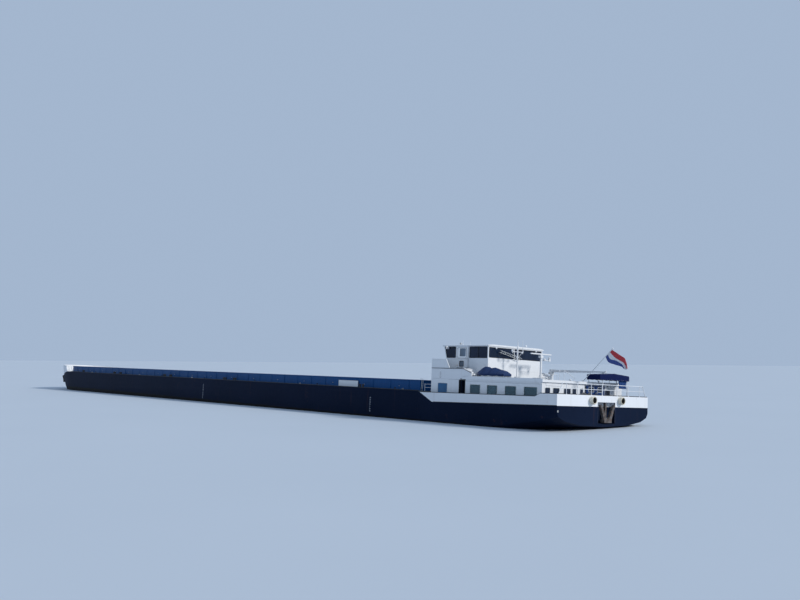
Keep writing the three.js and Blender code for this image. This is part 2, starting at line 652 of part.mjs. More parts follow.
piece('wheelhouse', makeCab(), 'white');
piece('wheelhouse_roof', makeCabRoof(), 'white');
piece('wheelhouse_door_port', makeCabDoor(1), 'white');
piece('wheelhouse_door_starboard', makeCabDoor(-1), 'white');
piece('helm_console', makeConsole(), 'seat');
piece('helm_seat', makeSeat(), 'seat');
piece('side_door_port', makeSideDoor(1), 'white');
piece('side_door_starboard', makeSideDoor(-1), 'white');
piece('aft_door_port', makeAftDoor(-130, -18, -18), 'door');
piece('aft_door_starboard', makeAftDoor(-248, -136, -248), 'door');
piece('radar_post', makeRadarPost(), 'white');
piece('radar_scanner', makeScanner(), 'white');
piece('antenna_mast', makeMast(), 'white');
piece('crane_post', makeCranePost(), 'white');
piece('crane_head', makeCraneHead(), 'white');
piece('crane_boom', makeBoom(), 'white');
piece('stern_rail', makeSternRail(), 'white');
piece('stern_anchor', makeSternAnchor(), 'rust');
piece('fairlead_port', makeFairlead(169, 355), 'steel');
piece('fairlead_starboard', makeFairlead(-192, 357), 'steel');
piece('flagstaff', makeStaff(), 'white');
piece('flag', makeFlag(), 'flag');
piece('awning_frame', makeAwningFrame(), 'white');
piece('awning', makeAwning(), 'cloth');
piece('stern_winch_frame', makeWinchFrame(), 'dark');
piece('stern_winch_drum', makeDrum(WINCH.s, WINCH.y, WINCH.z, 38, 26, 53), 'steel');
piece('windlass_frame', makeWindlass(), 'green');
piece('windlass_drum_port', makeDrum(WINDLASS.s, 81, WINDLASS.z, 44, WINDLASS.drum, 58), 'steel');
piece('windlass_drum_starboard', makeDrum(WINDLASS.s, -81, WINDLASS.z, 44, WINDLASS.drum, 58), 'steel');
piece('bow_anchor_port', makeBowAnchor(1), 'rust');
piece('bow_anchor_starboard', makeBowAnchor(-1), 'rust');
piece('foremast', makeForemast(), 'white');
piece('foremast_foot', makeForemastFoot(), 'dark');
piece('forepeak_lid', makeLid(), 'dark');
piece('fore_bollards_port', makeBollards(10430, 360), 'dark');
piece('fore_bollards_starboard', makeBollards(10430, -360), 'dark');
piece('aft_bollards_port', makeBollards(76, 400), 'dark');
piece('aft_bollards_starboard', makeBollards(76, -400), 'dark');
piece('dinghy', makeDinghy(), 'steel');
piece('dinghy_cover', makeDinghyCover(), 'cloth');
piece('propeller_port', makePropeller(1), 'brass');
piece('propeller_starboard', makePropeller(-1), 'brass');
piece('rudder_port', makeRudder(1), 'navy');
piece('rudder_starboard', makeRudder(-1), 'navy');

export default group;
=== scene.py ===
# River barge, dressed for the camera. Lengths in the calls below are the CAD's own millimetres:
# s runs forward from the transom, y to port and z up from the flat bottom.
from math import cos, exp, pi, radians, sin

import bmesh
import bpy
from mathutils import Matrix, Vector, noise


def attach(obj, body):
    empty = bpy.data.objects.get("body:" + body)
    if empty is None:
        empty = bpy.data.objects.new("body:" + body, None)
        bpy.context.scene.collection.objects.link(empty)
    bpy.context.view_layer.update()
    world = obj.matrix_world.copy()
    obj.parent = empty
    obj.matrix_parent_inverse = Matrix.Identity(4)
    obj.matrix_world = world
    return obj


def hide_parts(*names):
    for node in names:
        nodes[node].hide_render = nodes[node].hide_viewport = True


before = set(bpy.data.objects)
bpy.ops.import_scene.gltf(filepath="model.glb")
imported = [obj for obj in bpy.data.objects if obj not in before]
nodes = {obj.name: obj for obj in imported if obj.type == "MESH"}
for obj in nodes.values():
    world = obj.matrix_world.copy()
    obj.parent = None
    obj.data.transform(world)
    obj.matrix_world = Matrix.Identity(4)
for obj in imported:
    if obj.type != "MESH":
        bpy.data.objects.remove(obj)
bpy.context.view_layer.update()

MID = 5402.5  # s of the frame's origin
SIDES = (("port", 1), ("starboard", -1))
UP = (0, 0, 1)
# heights on which fittings stand: main deck, side deck and the deck for cars on the house
DECK, SIDE_DECK, CAR_DECK = 345.2, 360.2, 490.2
# faces of a box, of a block between two quads given one after the other, and between two triangles
BOX = [(0, 2, 3, 1), (4, 5, 7, 6), (0, 1, 5, 4), (2, 6, 7, 3), (0, 4, 6, 2), (1, 3, 7, 5)]
PRISM = [(0, 1, 2, 3), (7, 6, 5, 4), (0, 4, 5, 1), (1, 5, 6, 2), (2, 6, 7, 3), (3, 7, 4, 0)]
WEDGE = [(0, 1, 2), (3, 5, 4), (0, 3, 4, 1), (1, 4, 5, 2), (2, 5, 3, 0)]
scene = bpy.context.scene


def P(s, y, z):
    """Place in the frame, in metres."""
    return Vector(((s - MID) / 1000, y / 1000, z / 1000))


# camera, light and floor

def make_camera():
    data = bpy.data.cameras.new("camera")
    data.sensor_width, data.lens = 36, 36.675
    data.clip_start, data.clip_end = 0.05, 2000
    cam = bpy.data.objects.new("camera", data)
    scene.collection.objects.link(cam)
    ahead = Vector((0.757515, -0.645006, 0.100691)).normalized()
    side = ahead.cross(Vector((0, 0, 1))).normalized()
    up = side.cross(ahead)
    roll = radians(2.59)
    x = cos(roll) * side + sin(roll) * up
    y = cos(roll) * up - sin(roll) * side
    m = Matrix((x, y, -ahead)).transposed().to_4x4()
    m.translation = Vector((-9.0875, 5.2119, 0.4217))
    cam.matrix_world = m
    scene.camera = cam


def make_light():
    world = bpy.data.worlds.new("studio")
    scene.world = world
    world.use_nodes = True
    back = world.node_tree.nodes["Background"]
    back.inputs["Color"].default_value = (0.50, 0.635, 0.84, 1)
    back.inputs["Strength"].default_value = 0.74
    sun = bpy.data.lights.new("key", "SUN")
    sun.energy, sun.angle, sun.color = 2.6, radians(9), (1.0, 0.96, 0.9)
    key = bpy.data.objects.new("key", sun)
    scene.collection.objects.link(key)
    towards = Vector((-0.75, -0.33, 0.50))
    key.rotation_euler = towards.to_track_quat("Z", "Y").to_euler()
    scene.view_settings.view_transform = "Standard"


def water_level(s, y):
    """Height of the floor, which is the water's surface, in the ship's frame, in millimetres."""
    return 117 - 0.0057 * s + 0.045 * (572.5 - y)


def make_floor():
    mat = Mat("floor")
    mat.colour(mat.mix(mat.noise(0.6, 3), (0.50, 0.565, 0.64), (0.53, 0.595, 0.67)))
    mat.set(Roughness=0.7, Specular_IOR_Level=0.15)
    mesh = bpy.data.meshes.new("floor")
    far = 400000
    hull = [(1480, -520), (10180, -520), (10180, 520), (1480, 520)]
    corners = [(-far, -far), (far, -far), (far, far), (-far, far)] + hull
    around = [(i, (i + 1) % 4, (i + 1) % 4 + 4, i + 4) for i in range(4)]
    mesh.from_pydata([P(s, y, water_level(s, y)) for s, y in corners], [], around)
    mesh.materials.append(mat.mat)
    floor = bpy.data.objects.new("floor", mesh)
    scene.collection.objects.link(floor)


# materials

class Mat:
    """A Principled material and short calls for the nodes in front of it."""

    def __init__(self, name):
        self.mat = bpy.data.materials.new(name)
        self.mat.use_nodes = True
        self.tree = self.mat.node_tree
        self.bsdf = self.tree.nodes["Principled BSDF"]
        self.place = self.node("ShaderNodeTexCoord", out="Object")

    def node(self, kind, inputs=None, out=0, **props):
        """Output of a new node, with its inputs linked or set."""
        n = self.tree.nodes.new(kind)
        for k, v in props.items():
            setattr(n, k, v)
        for k, v in (inputs or {}).items():
            self.put(n.inputs[k], v)
        return n.outputs[out]

    def put(self, socket, value):
        if isinstance(value, bpy.types.NodeSocket):
            self.tree.links.new(value, socket)
        elif isinstance(value, tuple) and len(value) == 3 and socket.type == "RGBA":
            socket.default_value = (*value, 1)
        else:
            socket.default_value = value

    def set(self, **values):
        for k, v in values.items():
            self.put(self.bsdf.inputs[k.replace("_", " ")], v)

    def colour(self, value):
        self.set(Base_Color=value)

    def stretched(self, x, y, z):
        return self.node("ShaderNodeMapping", {"Vector": self.place, "Scale": (x, y, z)}, "Vector")

    def noise(self, scale, detail=4, rough=0.55, at=None):
        inputs = {"Vector": at or self.place, "Scale": scale, "Detail": detail, "Roughness": rough}
        return self.node("ShaderNodeTexNoise", inputs, "Fac")

    def wave(self, scale, at=None, distort=0.0, direction="X"):
        inputs = {"Vector": at or self.place, "Scale": scale, "Distortion": distort}
        return self.node("ShaderNodeTexWave", inputs, "Fac", bands_direction=direction)

    def math(self, how, *values, clamp=False):
        return self.node("ShaderNodeMath", dict(enumerate(values)), operation=how, use_clamp=clamp)

    def times(self, a, b, clamp=False):
        return self.math("MULTIPLY", a, b, clamp=clamp)

    def above(self, value, limit):
        return self.math("GREATER_THAN", value, limit)

    def below(self, value, limit):
        return self.math("LESS_THAN", value, limit)

    def most(self, a, b):
        return self.math("MAXIMUM", a, b)

    def ramp(self, value, low, high):
        inputs = {"Value": value, "From Min": low, "From Max": high}
        return self.node("ShaderNodeMapRange", inputs, "Result", interpolation_type="SMOOTHSTEP")

    def mix(self, share, a, b):
        return self.node("ShaderNodeMix", {0: share, 6: a, 7: b}, 2, data_type="RGBA")

    def axis(self, which):
        return self.node("ShaderNodeSeparateXYZ", {0: self.place}, which)

    def facing(self, which):
        normal = self.node("ShaderNodeNewGeometry", out="True Normal")
        return self.node("ShaderNodeSeparateXYZ", {0: normal}, which)

    def between(self, value, low, high):
        return self.times(self.above(value, low), self.below(value, high))

    def off_middle(self, y):
        """1 where the distance from the middle line is more than y metres."""
        return self.above(self.math("ABSOLUTE", self.axis("Y")), y)

    def inside(self, s0, s1, y, z0, z1):
        """1 within a block that is symmetric about the middle line, in the CAD's millimetres."""
        x = self.between(self.axis("X"), (s0 - MID) / 1000, (s1 - MID) / 1000)
        w = self.below(self.math("ABSOLUTE", self.axis("Y")), y / 1000)
        z = self.between(self.axis("Z"), z0 / 1000, z1 / 1000)
        return self.times(self.times(x, w), z)

    def bump(self, height, strength=0.3, distance=0.001, under=None):
        inputs = {"Height": height, "Strength": strength, "Distance": distance}
        if under is not None:
            inputs["Normal"] = under
        normal = self.node("ShaderNodeBump", inputs, "Normal")
        self.set(Normal=normal)
        return normal

    def rounded(self, radius=0.0012):
        """Normal that runs softly over the edges."""
        return self.node("ShaderNodeBevel", {"Radius": radius}, "Normal", samples=4)

    def coat(self, col, amount, rough, height, bump, edge, grain, gloss=None):
        """Closes a plate's material; bump is strength and distance, grain is scale, detail and strength."""
        self.colour(col)
        worn_roughness(self, rough, amount)
        if gloss is not None:
            self.set(Specular_IOR_Level=gloss)
        first = self.bump(height, *bump, self.rounded(edge)) if height is not None else self.rounded(edge)
        self.bump(self.noise(*grain[:2]), grain[2], 0.0006, first)
        return self.mat


def weathered(m, base, streak=0.25, rust=0.0, spread=0.14, grime=(0.10, 0.085, 0.065)):
    """Paint colour with uneven fading, rain streaks, fine dirt and, where asked, rust that bleeds down."""
    light = tuple(min(1, c * (1 + spread) + 0.004) for c in base)
    dark = tuple(c * (1 - spread) for c in base)
    col = m.mix(m.noise(1.7, 3), dark, light)
    col = m.mix(m.times(m.ramp(m.noise(42, 6, 0.65), 0.46, 0.72), 0.35), col, dark)
    runs = m.noise(1.0, 6, 0.62, m.stretched(26, 26, 1.4))
    col = m.mix(m.times(m.ramp(runs, 0.53, 0.78), streak), col, grime)
    if rust:
        spots = m.ramp(m.noise(13, 8, 0.7), 0.63 - rust * 0.08, 0.70)
        bleed = m.ramp(m.noise(1.0, 5, 0.6, m.stretched(34, 34, 2.6)), 0.60, 0.74)
        amount = m.times(m.most(spots, m.times(bleed, 0.6)), rust, clamp=True)
        tone = m.mix(m.noise(70, 5), (0.17, 0.055, 0.018), (0.30, 0.13, 0.05))
        col = m.mix(amount, col, tone)
        return col, amount
    return col, None


def worn_roughness(m, level, amount=None):
    r = m.math("MULTIPLY_ADD", m.noise(23, 4), 0.16, level - 0.08)
    if amount is not None:
        r = m.math("ADD", r, m.times(amount, 0.3), clamp=True)
    m.set(Roughness=r)


def paint(name, base, rough=0.42, gloss=0.35, **wear):
    m = Mat(name)
    col, amount = weathered(m, base, **wear)
    return m.coat(col, amount, rough, None, None, 0.0012, (240, 3, 0.12), gloss)


def deck_paint(m, base=(0.085, 0.10, 0.105)):
    worn = m.mix(m.ramp(m.noise(5, 5, 0.6), 0.42, 0.68), base, tuple(c * 1.7 for c in base))
    return m.mix(m.times(m.ramp(m.noise(19, 7, 0.7), 0.58, 0.66), 0.5), worn, (0.16, 0.08, 0.045))


def steel_hold(m):
    tone = m.mix(m.noise(6, 6, 0.65), (0.10, 0.075, 0.06), (0.24, 0.20, 0.17))
    return m.mix(m.ramp(m.noise(1.0, 6, 0.6, m.stretched(20, 20, 2)), 0.5, 0.75), tone, (0.16, 0.075, 0.04))


def cabin_lining(m):
    return m.mix(m.wave(18, m.stretched(1, 1, 1), 1.5, "X"), (0.30, 0.24, 0.16), (0.40, 0.33, 0.23))


def plating(m, dents=0.5):
    """Height of welded plates with the soft hollows between their frames."""
    flat = m.node("ShaderNodeCombineXYZ", {"X": m.axis("X"), "Y": m.axis("Z")})
    plates = {"Vector": flat, "Scale": 1.0, "Mortar Size": 0.0011, "Mortar Smooth": 0.6,
              "Brick Width": 0.62, "Row Height": 0.092}
    bricks = m.node("ShaderNodeTexBrick", plates, "Fac", offset=0.5)
    ribs = m.wave(9.2, flat, 0.4)
    hollow = m.times(m.math("POWER", ribs, 2.0), m.times(m.noise(2.2, 2), dents))
    return m.math("ADD", m.times(bricks, 0.55), hollow)


def hull_material():
    m = Mat("hull_navy")
    col, amount = weathered(m, (0.0014, 0.0072, 0.026), streak=0.10, rust=0.10, spread=0.30,
                            grime=(0.005, 0.011, 0.024))
    low = m.math("ADD", m.axis("Z"), m.times(m.noise(14, 4, at=m.stretched(1, 1, 0.2)), 0.03))
    tar = m.mix(m.noise(9, 6, 0.7), (0.005, 0.005, 0.006), (0.020, 0.018, 0.016))
    col = m.mix(m.ramp(low, 0.142, 0.128), col, tar)
    scuff = m.ramp(m.noise(1.0, 6, 0.7, m.stretched(1.3, 1.3, 60)), 0.62, 0.72)
    col = m.mix(m.times(scuff, 0.10), col, (0.05, 0.06, 0.08))
    side = m.off_middle(0.571)
    marks = None
    for s, z0, z1 in ((5340, 120, 298), (2115, 146, 280), (10050, 120, 298)):
        rungs = m.above(m.math("FRACT", m.times(m.axis("Z"), 50.0)), 0.52)
        tick = m.times(rungs, m.inside(s - 7, s + 7, 580, z0, z1))
        rule = m.inside(s + 6, s + 8, 580, z0, z1)
        one = m.most(tick, rule)
        marks = one if marks is None else m.most(marks, one)
    worn = m.times(m.ramp(m.noise(60, 5, 0.6), 0.68, 0.5), 0.6)
    col = m.mix(m.times(m.times(marks, side), worn), col, (0.55, 0.58, 0.62))
    top = m.times(m.above(m.facing("Z"), 0.8), m.above(m.axis("Z"), 0.33))
    col = m.mix(top, col, deck_paint(m))
    col = m.mix(m.inside(1557, 10129, 475.6, 55, 361), col, steel_hold(m))
    col = m.mix(m.inside(222, 1332, 431, 238, 351), col, cabin_lining(m))
    col = m.mix(m.inside(10328, 10622, 331, 148, 333), col, steel_hold(m))
    return m.coat(col, amount, 0.56, plating(m), (0.4, 0.0018), 0.002, (160, 4, 0.10), 0.05)


def fairlead_material():
    """Cream outside, with painted shade, near black, in the bore."""
    m = Mat("fairlead")
    col, amount = weathered(m, (0.70, 0.67, 0.58), streak=0.3, rust=0.3, spread=0.1,
                            grime=(0.25, 0.17, 0.10))
    bore_shade = None
    for y, z in ((169, 355), (-192, 357)):
        dy = m.math("SUBTRACT", m.axis("Y"), y / 1000)
        dz = m.math("SUBTRACT", m.axis("Z"), z / 1000)
        r = m.math("SQRT", m.math("ADD", m.times(dy, dy), m.times(dz, dz)))
        one = m.below(r, 0.0225)
        bore_shade = one if bore_shade is None else m.most(bore_shade, one)
    # painted shade: the inside of each bore is coloured near-black
    col = m.mix(bore_shade, col, (0.02, 0.018, 0.016))
    return m.coat(col, amount, 0.45, None, None, 0.001, (150, 4, 0.15))


def white_hull_material():
    """White shell plating, with deck paint on the decks inside it and a dark line along its lower edge."""
    m = Mat("white_shell")
    col, amount = weathered(m, (0.72, 0.745, 0.78), streak=0.20, rust=0.16, spread=0.06,
                            grime=(0.32, 0.27, 0.21))
    level = m.above(m.facing("Z"), 0.8)
    deck = m.times(level, m.between(m.axis("Z"), 0.3445, 0.3465))
    col = m.mix(deck, col, deck_paint(m))
    edge = m.math("MULTIPLY_ADD", m.axis("X"), -0.0260, 0.308 - 0.0260 * (MID + 10) / 1000)
    over = m.math("SUBTRACT", m.axis("Z"), edge)
    side = m.off_middle(0.5715)
    line = m.times(m.times(m.below(over, 0.0045), side), m.below(m.axis("X"), (1290 - MID) / 1000))
    col = m.mix(line, col, (0.012, 0.014, 0.02))
    col = m.mix(m.inside(222, 1332, 431, 238, 344.8), col, cabin_lining(m))
    return m.coat(col, amount, 0.40, plating(m, 0.3), (0.35, 0.0016), 0.0016, (220, 3, 0.10), 0.4)


def house_material(name, lining, roof=None, recess=None):
    """White panels outside, a lining inside and painted shade in a door recess, set by where they are."""
    m = Mat(name)
    col, amount = weathered(m, (0.74, 0.765, 0.80), streak=0.10, rust=0.08, spread=0.05,
                            grime=(0.42, 0.37, 0.30))
    if roof is not None:
        level = m.times(m.above(m.facing("Z"), 0.8), m.above(m.axis("Z"), roof))
        col = m.mix(level, col, deck_paint(m, (0.14, 0.16, 0.17)))
    for block in lining:
        col = m.mix(m.inside(*block), col, cabin_lining(m))
    if recess:
        # painted shade: the door recess is coloured near-black navy, as if in shadow
        col = m.mix(m.times(m.inside(*recess), m.off_middle(0.41)), col, (0.008, 0.012, 0.024))
    seams = m.math("POWER", m.wave(3.1, m.stretched(1, 1, 0), 0), 40)
    return m.coat(col, amount, 0.38, seams, (0.25, 0.0012), 0.0014, (230, 3, 0.10), 0.4)


def coaming_material():
    m = Mat("coaming_blue")
    col, amount = weathered(m, (0.003, 0.070, 0.225), streak=0.3, rust=0.14, spread=0.20,
                            grime=(0.012, 0.046, 0.13))
    col = m.mix(m.inside(1551, 10134, 475.6, 355, 452.5), col, steel_hold(m))
    return m.coat(col, amount, 0.44, plating(m, 0.8), (0.5, 0.002), 0.0016, (180, 4, 0.12), 0.15)


def rusty(name, a=(0.13, 0.085, 0.06), b=(0.30, 0.26, 0.25), rough=0.72):
    m = Mat(name)
    col = m.mix(m.ramp(m.noise(34, 8, 0.7), 0.38, 0.66), a, b)
    col = m.mix(m.ramp(m.noise(90, 5, 0.6), 0.55, 0.7), col, (0.21, 0.085, 0.035))
    m.colour(col)
    worn_roughness(m, rough)
    m.set(Metallic=0.15)
    m.bump(m.noise(130, 8, 0.7), 0.5, 0.0012, m.rounded(0.0015))
    return m.mat


def metal(name, base, rough=0.36, spots=(0.20, 0.15, 0.11), grooves=0):
    m = Mat(name)
    grain = m.noise(30, 5, 0.6, m.stretched(1, 9, 9))
    col = m.mix(grain, tuple(c * 0.72 for c in base), tuple(min(1, c * 1.15) for c in base))
    col = m.mix(m.times(m.ramp(m.noise(28, 7, 0.7), 0.56, 0.68), 0.6), col, spots)
    m.colour(col)
    m.set(Metallic=0.85)
    worn_roughness(m, rough)
    under = m.rounded(0.001)
    if grooves:
        under = m.bump(m.wave(grooves, None, 0, "Y"), 0.8, 0.0015, under)
    m.bump(grain, 0.15, 0.0005, under)
    return m.mat


def glass(name, tint, clear=0.35, gloss=0.5):
    m = Mat(name)
    haze = m.ramp(m.noise(5.5, 4, 0.6), 0.35, 0.75)
    m.colour(m.mix(haze, tint, tuple(min(1, c * 1.7 + 0.01) for c in tint)))
    m.set(Roughness=m.math("MULTIPLY_ADD", m.noise(60, 4), 0.06, 0.04), Alpha=1 - clear)
    m.set(Specular_IOR_Level=gloss)
    m.bump(m.noise(3.2, 2), 0.10, 0.002)
    return m.mat


def cloth(name, dark, light, weave=900, rough=0.85, sheen=0.25, soft=0.4, dust=0.3, gloss=0.5):
    m = Mat(name)
    threads = m.times(m.wave(weave, None, 0.3, "X"), m.wave(weave, None, 0.3, "Z"))
    col = m.mix(m.noise(11, 5, 0.6), dark, light)
    col = m.mix(m.times(threads, 0.25), col, tuple(min(1, c * 1.5) for c in light))
    col = m.mix(m.times(m.ramp(m.noise(24, 7, 0.7), 0.55, 0.72), dust), col, (0.14, 0.13, 0.12))
    m.colour(col)
    m.set(Sheen_Weight=sheen, Sheen_Roughness=0.4, Specular_IOR_Level=gloss)
    m.set(Roughness=m.math("MULTIPLY_ADD", m.noise(40, 4), 0.15, rough - 0.08))
    m.bump(m.math("ADD", m.times(threads, 0.2), m.noise(30, 5)), soft, 0.0012)
    return m.mat


def flag_material():
    m = Mat("flag_cloth")
    uv = m.node("ShaderNodeUVMap", out="UV", uv_map="cut")
    across = m.node("ShaderNodeSeparateXYZ", {0: uv}, "Y")
    fade = m.noise(16, 4)
    red = m.mix(fade, (0.42, 0.016, 0.03), (0.56, 0.035, 0.05))
    white = m.mix(fade, (0.66, 0.68, 0.72), (0.80, 0.81, 0.84))
    blue = m.mix(fade, (0.018, 0.04, 0.20), (0.03, 0.07, 0.30))
    col = m.mix(m.above(across, 0.3333), red, white)
    col = m.mix(m.above(across, 0.6667), col, blue)
    weave = m.times(m.wave(700, None, 0.2, "X"), m.wave(700, None, 0.2, "Z"))
    m.colour(m.mix(m.times(weave, 0.12), col, (0.5, 0.5, 0.5)))
    m.set(Roughness=m.math("MULTIPLY_ADD", fade, 0.1, 0.75), Sheen_Weight=0.2, Sheen_Roughness=0.4)
    m.bump(m.math("ADD", m.times(weave, 0.2), m.noise(60, 3)), 0.3, 0.0008)
    return m.mat


# shapes

class Shape:
    """Collects boxes, rods and other forms of one material, then becomes one object."""

    def __init__(self):
        self.bm = bmesh.new()

    def faces(self, points, faces):
        vs = [self.bm.verts.new(p) for p in points]
        for f in faces:
            self.bm.faces.new([vs[i] for i in f])
        return self

    def box(self, s0, s1, y0, y1, z0, z1):
        pts = [P(s, y, z) for z in (z0, z1) for y in sorted((y0, y1)) for s in (s0, s1)]
        return self.faces(pts, BOX)

    def slab(self, s0, s1, outline, side=1):
        """Plate with an outline of three or four points y, z, between s0 and s1."""
        pts = [P(s, side * y, z) for s in (s0, s1) for y, z in outline]
        return self.faces(pts, PRISM if len(outline) == 4 else WEDGE)

    def loops(self, loops, closed=False):
        """Skin over rings of equally many points; closed joins the last ring to the first."""
        rings = [[self.bm.verts.new(p) for p in ring] for ring in loops]
        n = len(rings[0])
        for a, b in zip(rings, rings[1:] + (rings[:1] if closed else [])):
            for i in range(n):
                self.bm.faces.new((a[i], a[(i + 1) % n], b[(i + 1) % n], b[i]))
        if not closed:
            self.bm.faces.new(rings[0][::-1])
            self.bm.faces.new(rings[-1])
        return self

    def path(self, points, r, sides=8, closed=False):
        """Round bar along points, with the radius one number or one for each point."""
        pts = [P(*p) for p in points]
        radii = [k / 1000 for k in (r if isinstance(r, (list, tuple)) else [r] * len(pts))]
        n = len(pts)
        rings = []
        normal = None
        for i, p in enumerate(pts):
            before = pts[i - 1] if i or closed else p
            after = pts[(i + 1) % n] if i < n - 1 or closed else p
            t = (after - before).normalized()
            if normal is None:
                normal = t.orthogonal().normalized()
            normal = (normal - normal.dot(t) * t).normalized()
            other = t.cross(normal)
            turn = [2 * pi * k / sides for k in range(sides)]
            rings.append([p + radii[i] * (cos(a) * normal + sin(a) * other) for a in turn])
        return self.loops(rings, closed)

    def lathe(self, profile, centre, sides=16, axis=UP, closed=False):
        """Profile of radius and distance along the axis, turned about it."""
        c, t = P(*centre), Vector(axis).normalized()
        u = t.orthogonal().normalized()
        v = t.cross(u)
        turn = [2 * pi * k / sides for k in range(sides)]
        rings = [[c + t * d / 1000 + (r / 1000) * (cos(a) * u + sin(a) * v) for a in turn]
                 for r, d in profile]
        return self.loops(rings, closed)

    def make(self, name, mat, body, bevel=0.0, angle=35):
        bmesh.ops.recalc_face_normals(self.bm, faces=self.bm.faces[:])
        mesh = bpy.data.meshes.new(name)
        self.bm.to_mesh(mesh)
        self.bm.free()
        mesh.materials.append(mat)
        mesh.shade_smooth()
        mesh.set_sharp_from_angle(angle=radians(angle))
        o = bpy.data.objects.new(name, mesh)
        scene.collection.objects.link(o)
        if bevel:
            b = o.modifiers.new("edges", "BEVEL")
            b.width, b.segments, b.limit_method = bevel / 1000, 2, "ANGLE"
            b.angle_limit = radians(40)
            b.harden_normals = True
        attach(o, body)
        return o


def soften(points, r):
    """Outline with each corner rounded over n + 1 points."""
    n = 4
    out = []
    for i, p in enumerate(points):
        a, b = points[i - 1], points[(i + 1) % len(points)]
        p0, p1 = p + (a - p).normalized() * r, p + (b - p).normalized() * r
        out += [p0.lerp(p, j / n).lerp(p.lerp(p1, j / n), j / n) for j in range(n + 1)]
    return out


def grown(points, d):
    """Convex outline, anticlockwise, with each side moved out by d."""
    sides = []
    for i, a in enumerate(points):
        t = (points[(i + 1) % len(points)] - a).normalized()
        sides.append((a + Vector((t.y, -t.x)) * d, t))
    out = []
    for i, (b, u) in enumerate(sides):
        a, t = sides[i - 1]
        w = b - a
        out.append(a + t * ((w.x * u.y - w.y * u.x) / (t.x * u.y - t.y * u.x)))
    return out


class Pane:
    """A window opening, from its corners and the direction out of it."""

    def __init__(self, corners, out, corner=8):
        pts = [P(*c) for c in corners]
        self.n = Vector(out).normalized()
        self.v = (Vector((0, 0, 1)) - self.n * self.n.z).normalized()
        self.u = self.v.cross(self.n)
        self.c = sum(pts, Vector()) / len(pts)
        flat = [Vector(((p - self.c).dot(self.u), (p - self.c).dot(self.v))) * 1000 for p in pts]
        turn = sum(a.x * b.y - a.y * b.x for a, b in zip(flat, flat[1:] + flat[:1]))
        self.flat, self.corner = (flat if turn > 0 else flat[::-1]), corner
        self.x0, self.x1 = min(p.x for p in flat), max(p.x for p in flat)
        self.y0, self.y1 = min(p.y for p in flat), max(p.y for p in flat)

    def at(self, a, b, depth):
        return self.c + (self.u * a + self.v * b + self.n * depth) / 1000

    def loop(self, grow, depth):
        r = max(self.corner + grow, 0.6)
        return [self.at(p.x, p.y, depth) for p in soften(grown(self.flat, grow), r)]

    def rim(self, shape, lip=3.0, proud=1.6, leg=4.5, inner=-1.8):
        section = [(lip, 0.05), (lip, proud * 0.6), (lip - 0.8, proud), (inner + 0.6, proud),
                   (inner, proud * 0.6), (inner, -leg), (-0.4, -leg), (-0.4, 0.05)]
        shape.loops([self.loop(g, d) for g, d in section], closed=True)

    def glass(self, shape, depth=-2.6):
        shape.loops([self.loop(-1.3, depth), self.loop(-1.3, depth - 1.0)])

    def bars(self, shape, at, depth=-1.6, w=1.6):
        """Upright glazing bars at shares of the width."""
        for k in at:
            x = self.x0 + (self.x1 - self.x0) * k
            face = ((x - w, self.y0), (x + w, self.y0), (x + w, self.y1), (x - w, self.y1))
            shape.faces([self.at(p, q, d) for d in (depth, depth - 2.5) for p, q in face], PRISM)

    def blind(self, shape, drop=1.0, depth=-11, pitch=4.6):
        """Slats behind the glass, from the top down by the share drop."""
        for i in range(int((self.y1 - self.y0) * drop / pitch)):
            b = self.y1 - 1 - i * pitch
            low = b - pitch * 0.86
            slat = [(b, depth), (low, depth - 2.0), (low - 0.5, depth - 1.7), (b - 0.5, depth + 0.4)]
            shape.loops([[self.at(a, q, d) for q, d in slat] for a in (self.x0 + 1, self.x1 - 1)])


def upright(s0, s1, y, z0, z1, out, top=0):
    """Pane in a wall that faces to one side; top moves its upper forward corner."""
    return Pane([(s0, y, z0), (s1, y, z0), (s1 + top, y, z1), (s0, y, z1)], (0, out, 0))


def facing_aft(s, y0, y1, z0, z1):
    return Pane([(s, y0, z0), (s, y1, z0), (s, y1, z1), (s, y0, z1)], (-1, 0, 0))


def build(name, mat, body, draw, **how):
    """Object from what the function draw adds to a new Shape."""
    shape = Shape()
    draw(shape)
    return shape.make(name, MATS[mat], body, **how)


JOBS = []


def job(make):
    """Keeps a function that makes pieces for the run at the end."""
    JOBS.append(make)
    return make


def piece(mat, body="barge", both=False, **how):
    """Keeps a function that draws the piece of its own name; both draws it to port, 1, and starboard, -1."""
    def keep(draw):
        def whole(shape):
            for side in (1, -1):
                draw(shape, side)
        return job(lambda: build(draw.__name__, mat, body, whole if both else draw, **how))
    return keep


def hoop(s, y, z, r, n):
    """Points of an upright circle across the ship."""
    turn = [2 * pi * i / n for i in range(n)]
    return [(s, y + r * cos(t), z + r * sin(t)) for t in turn]


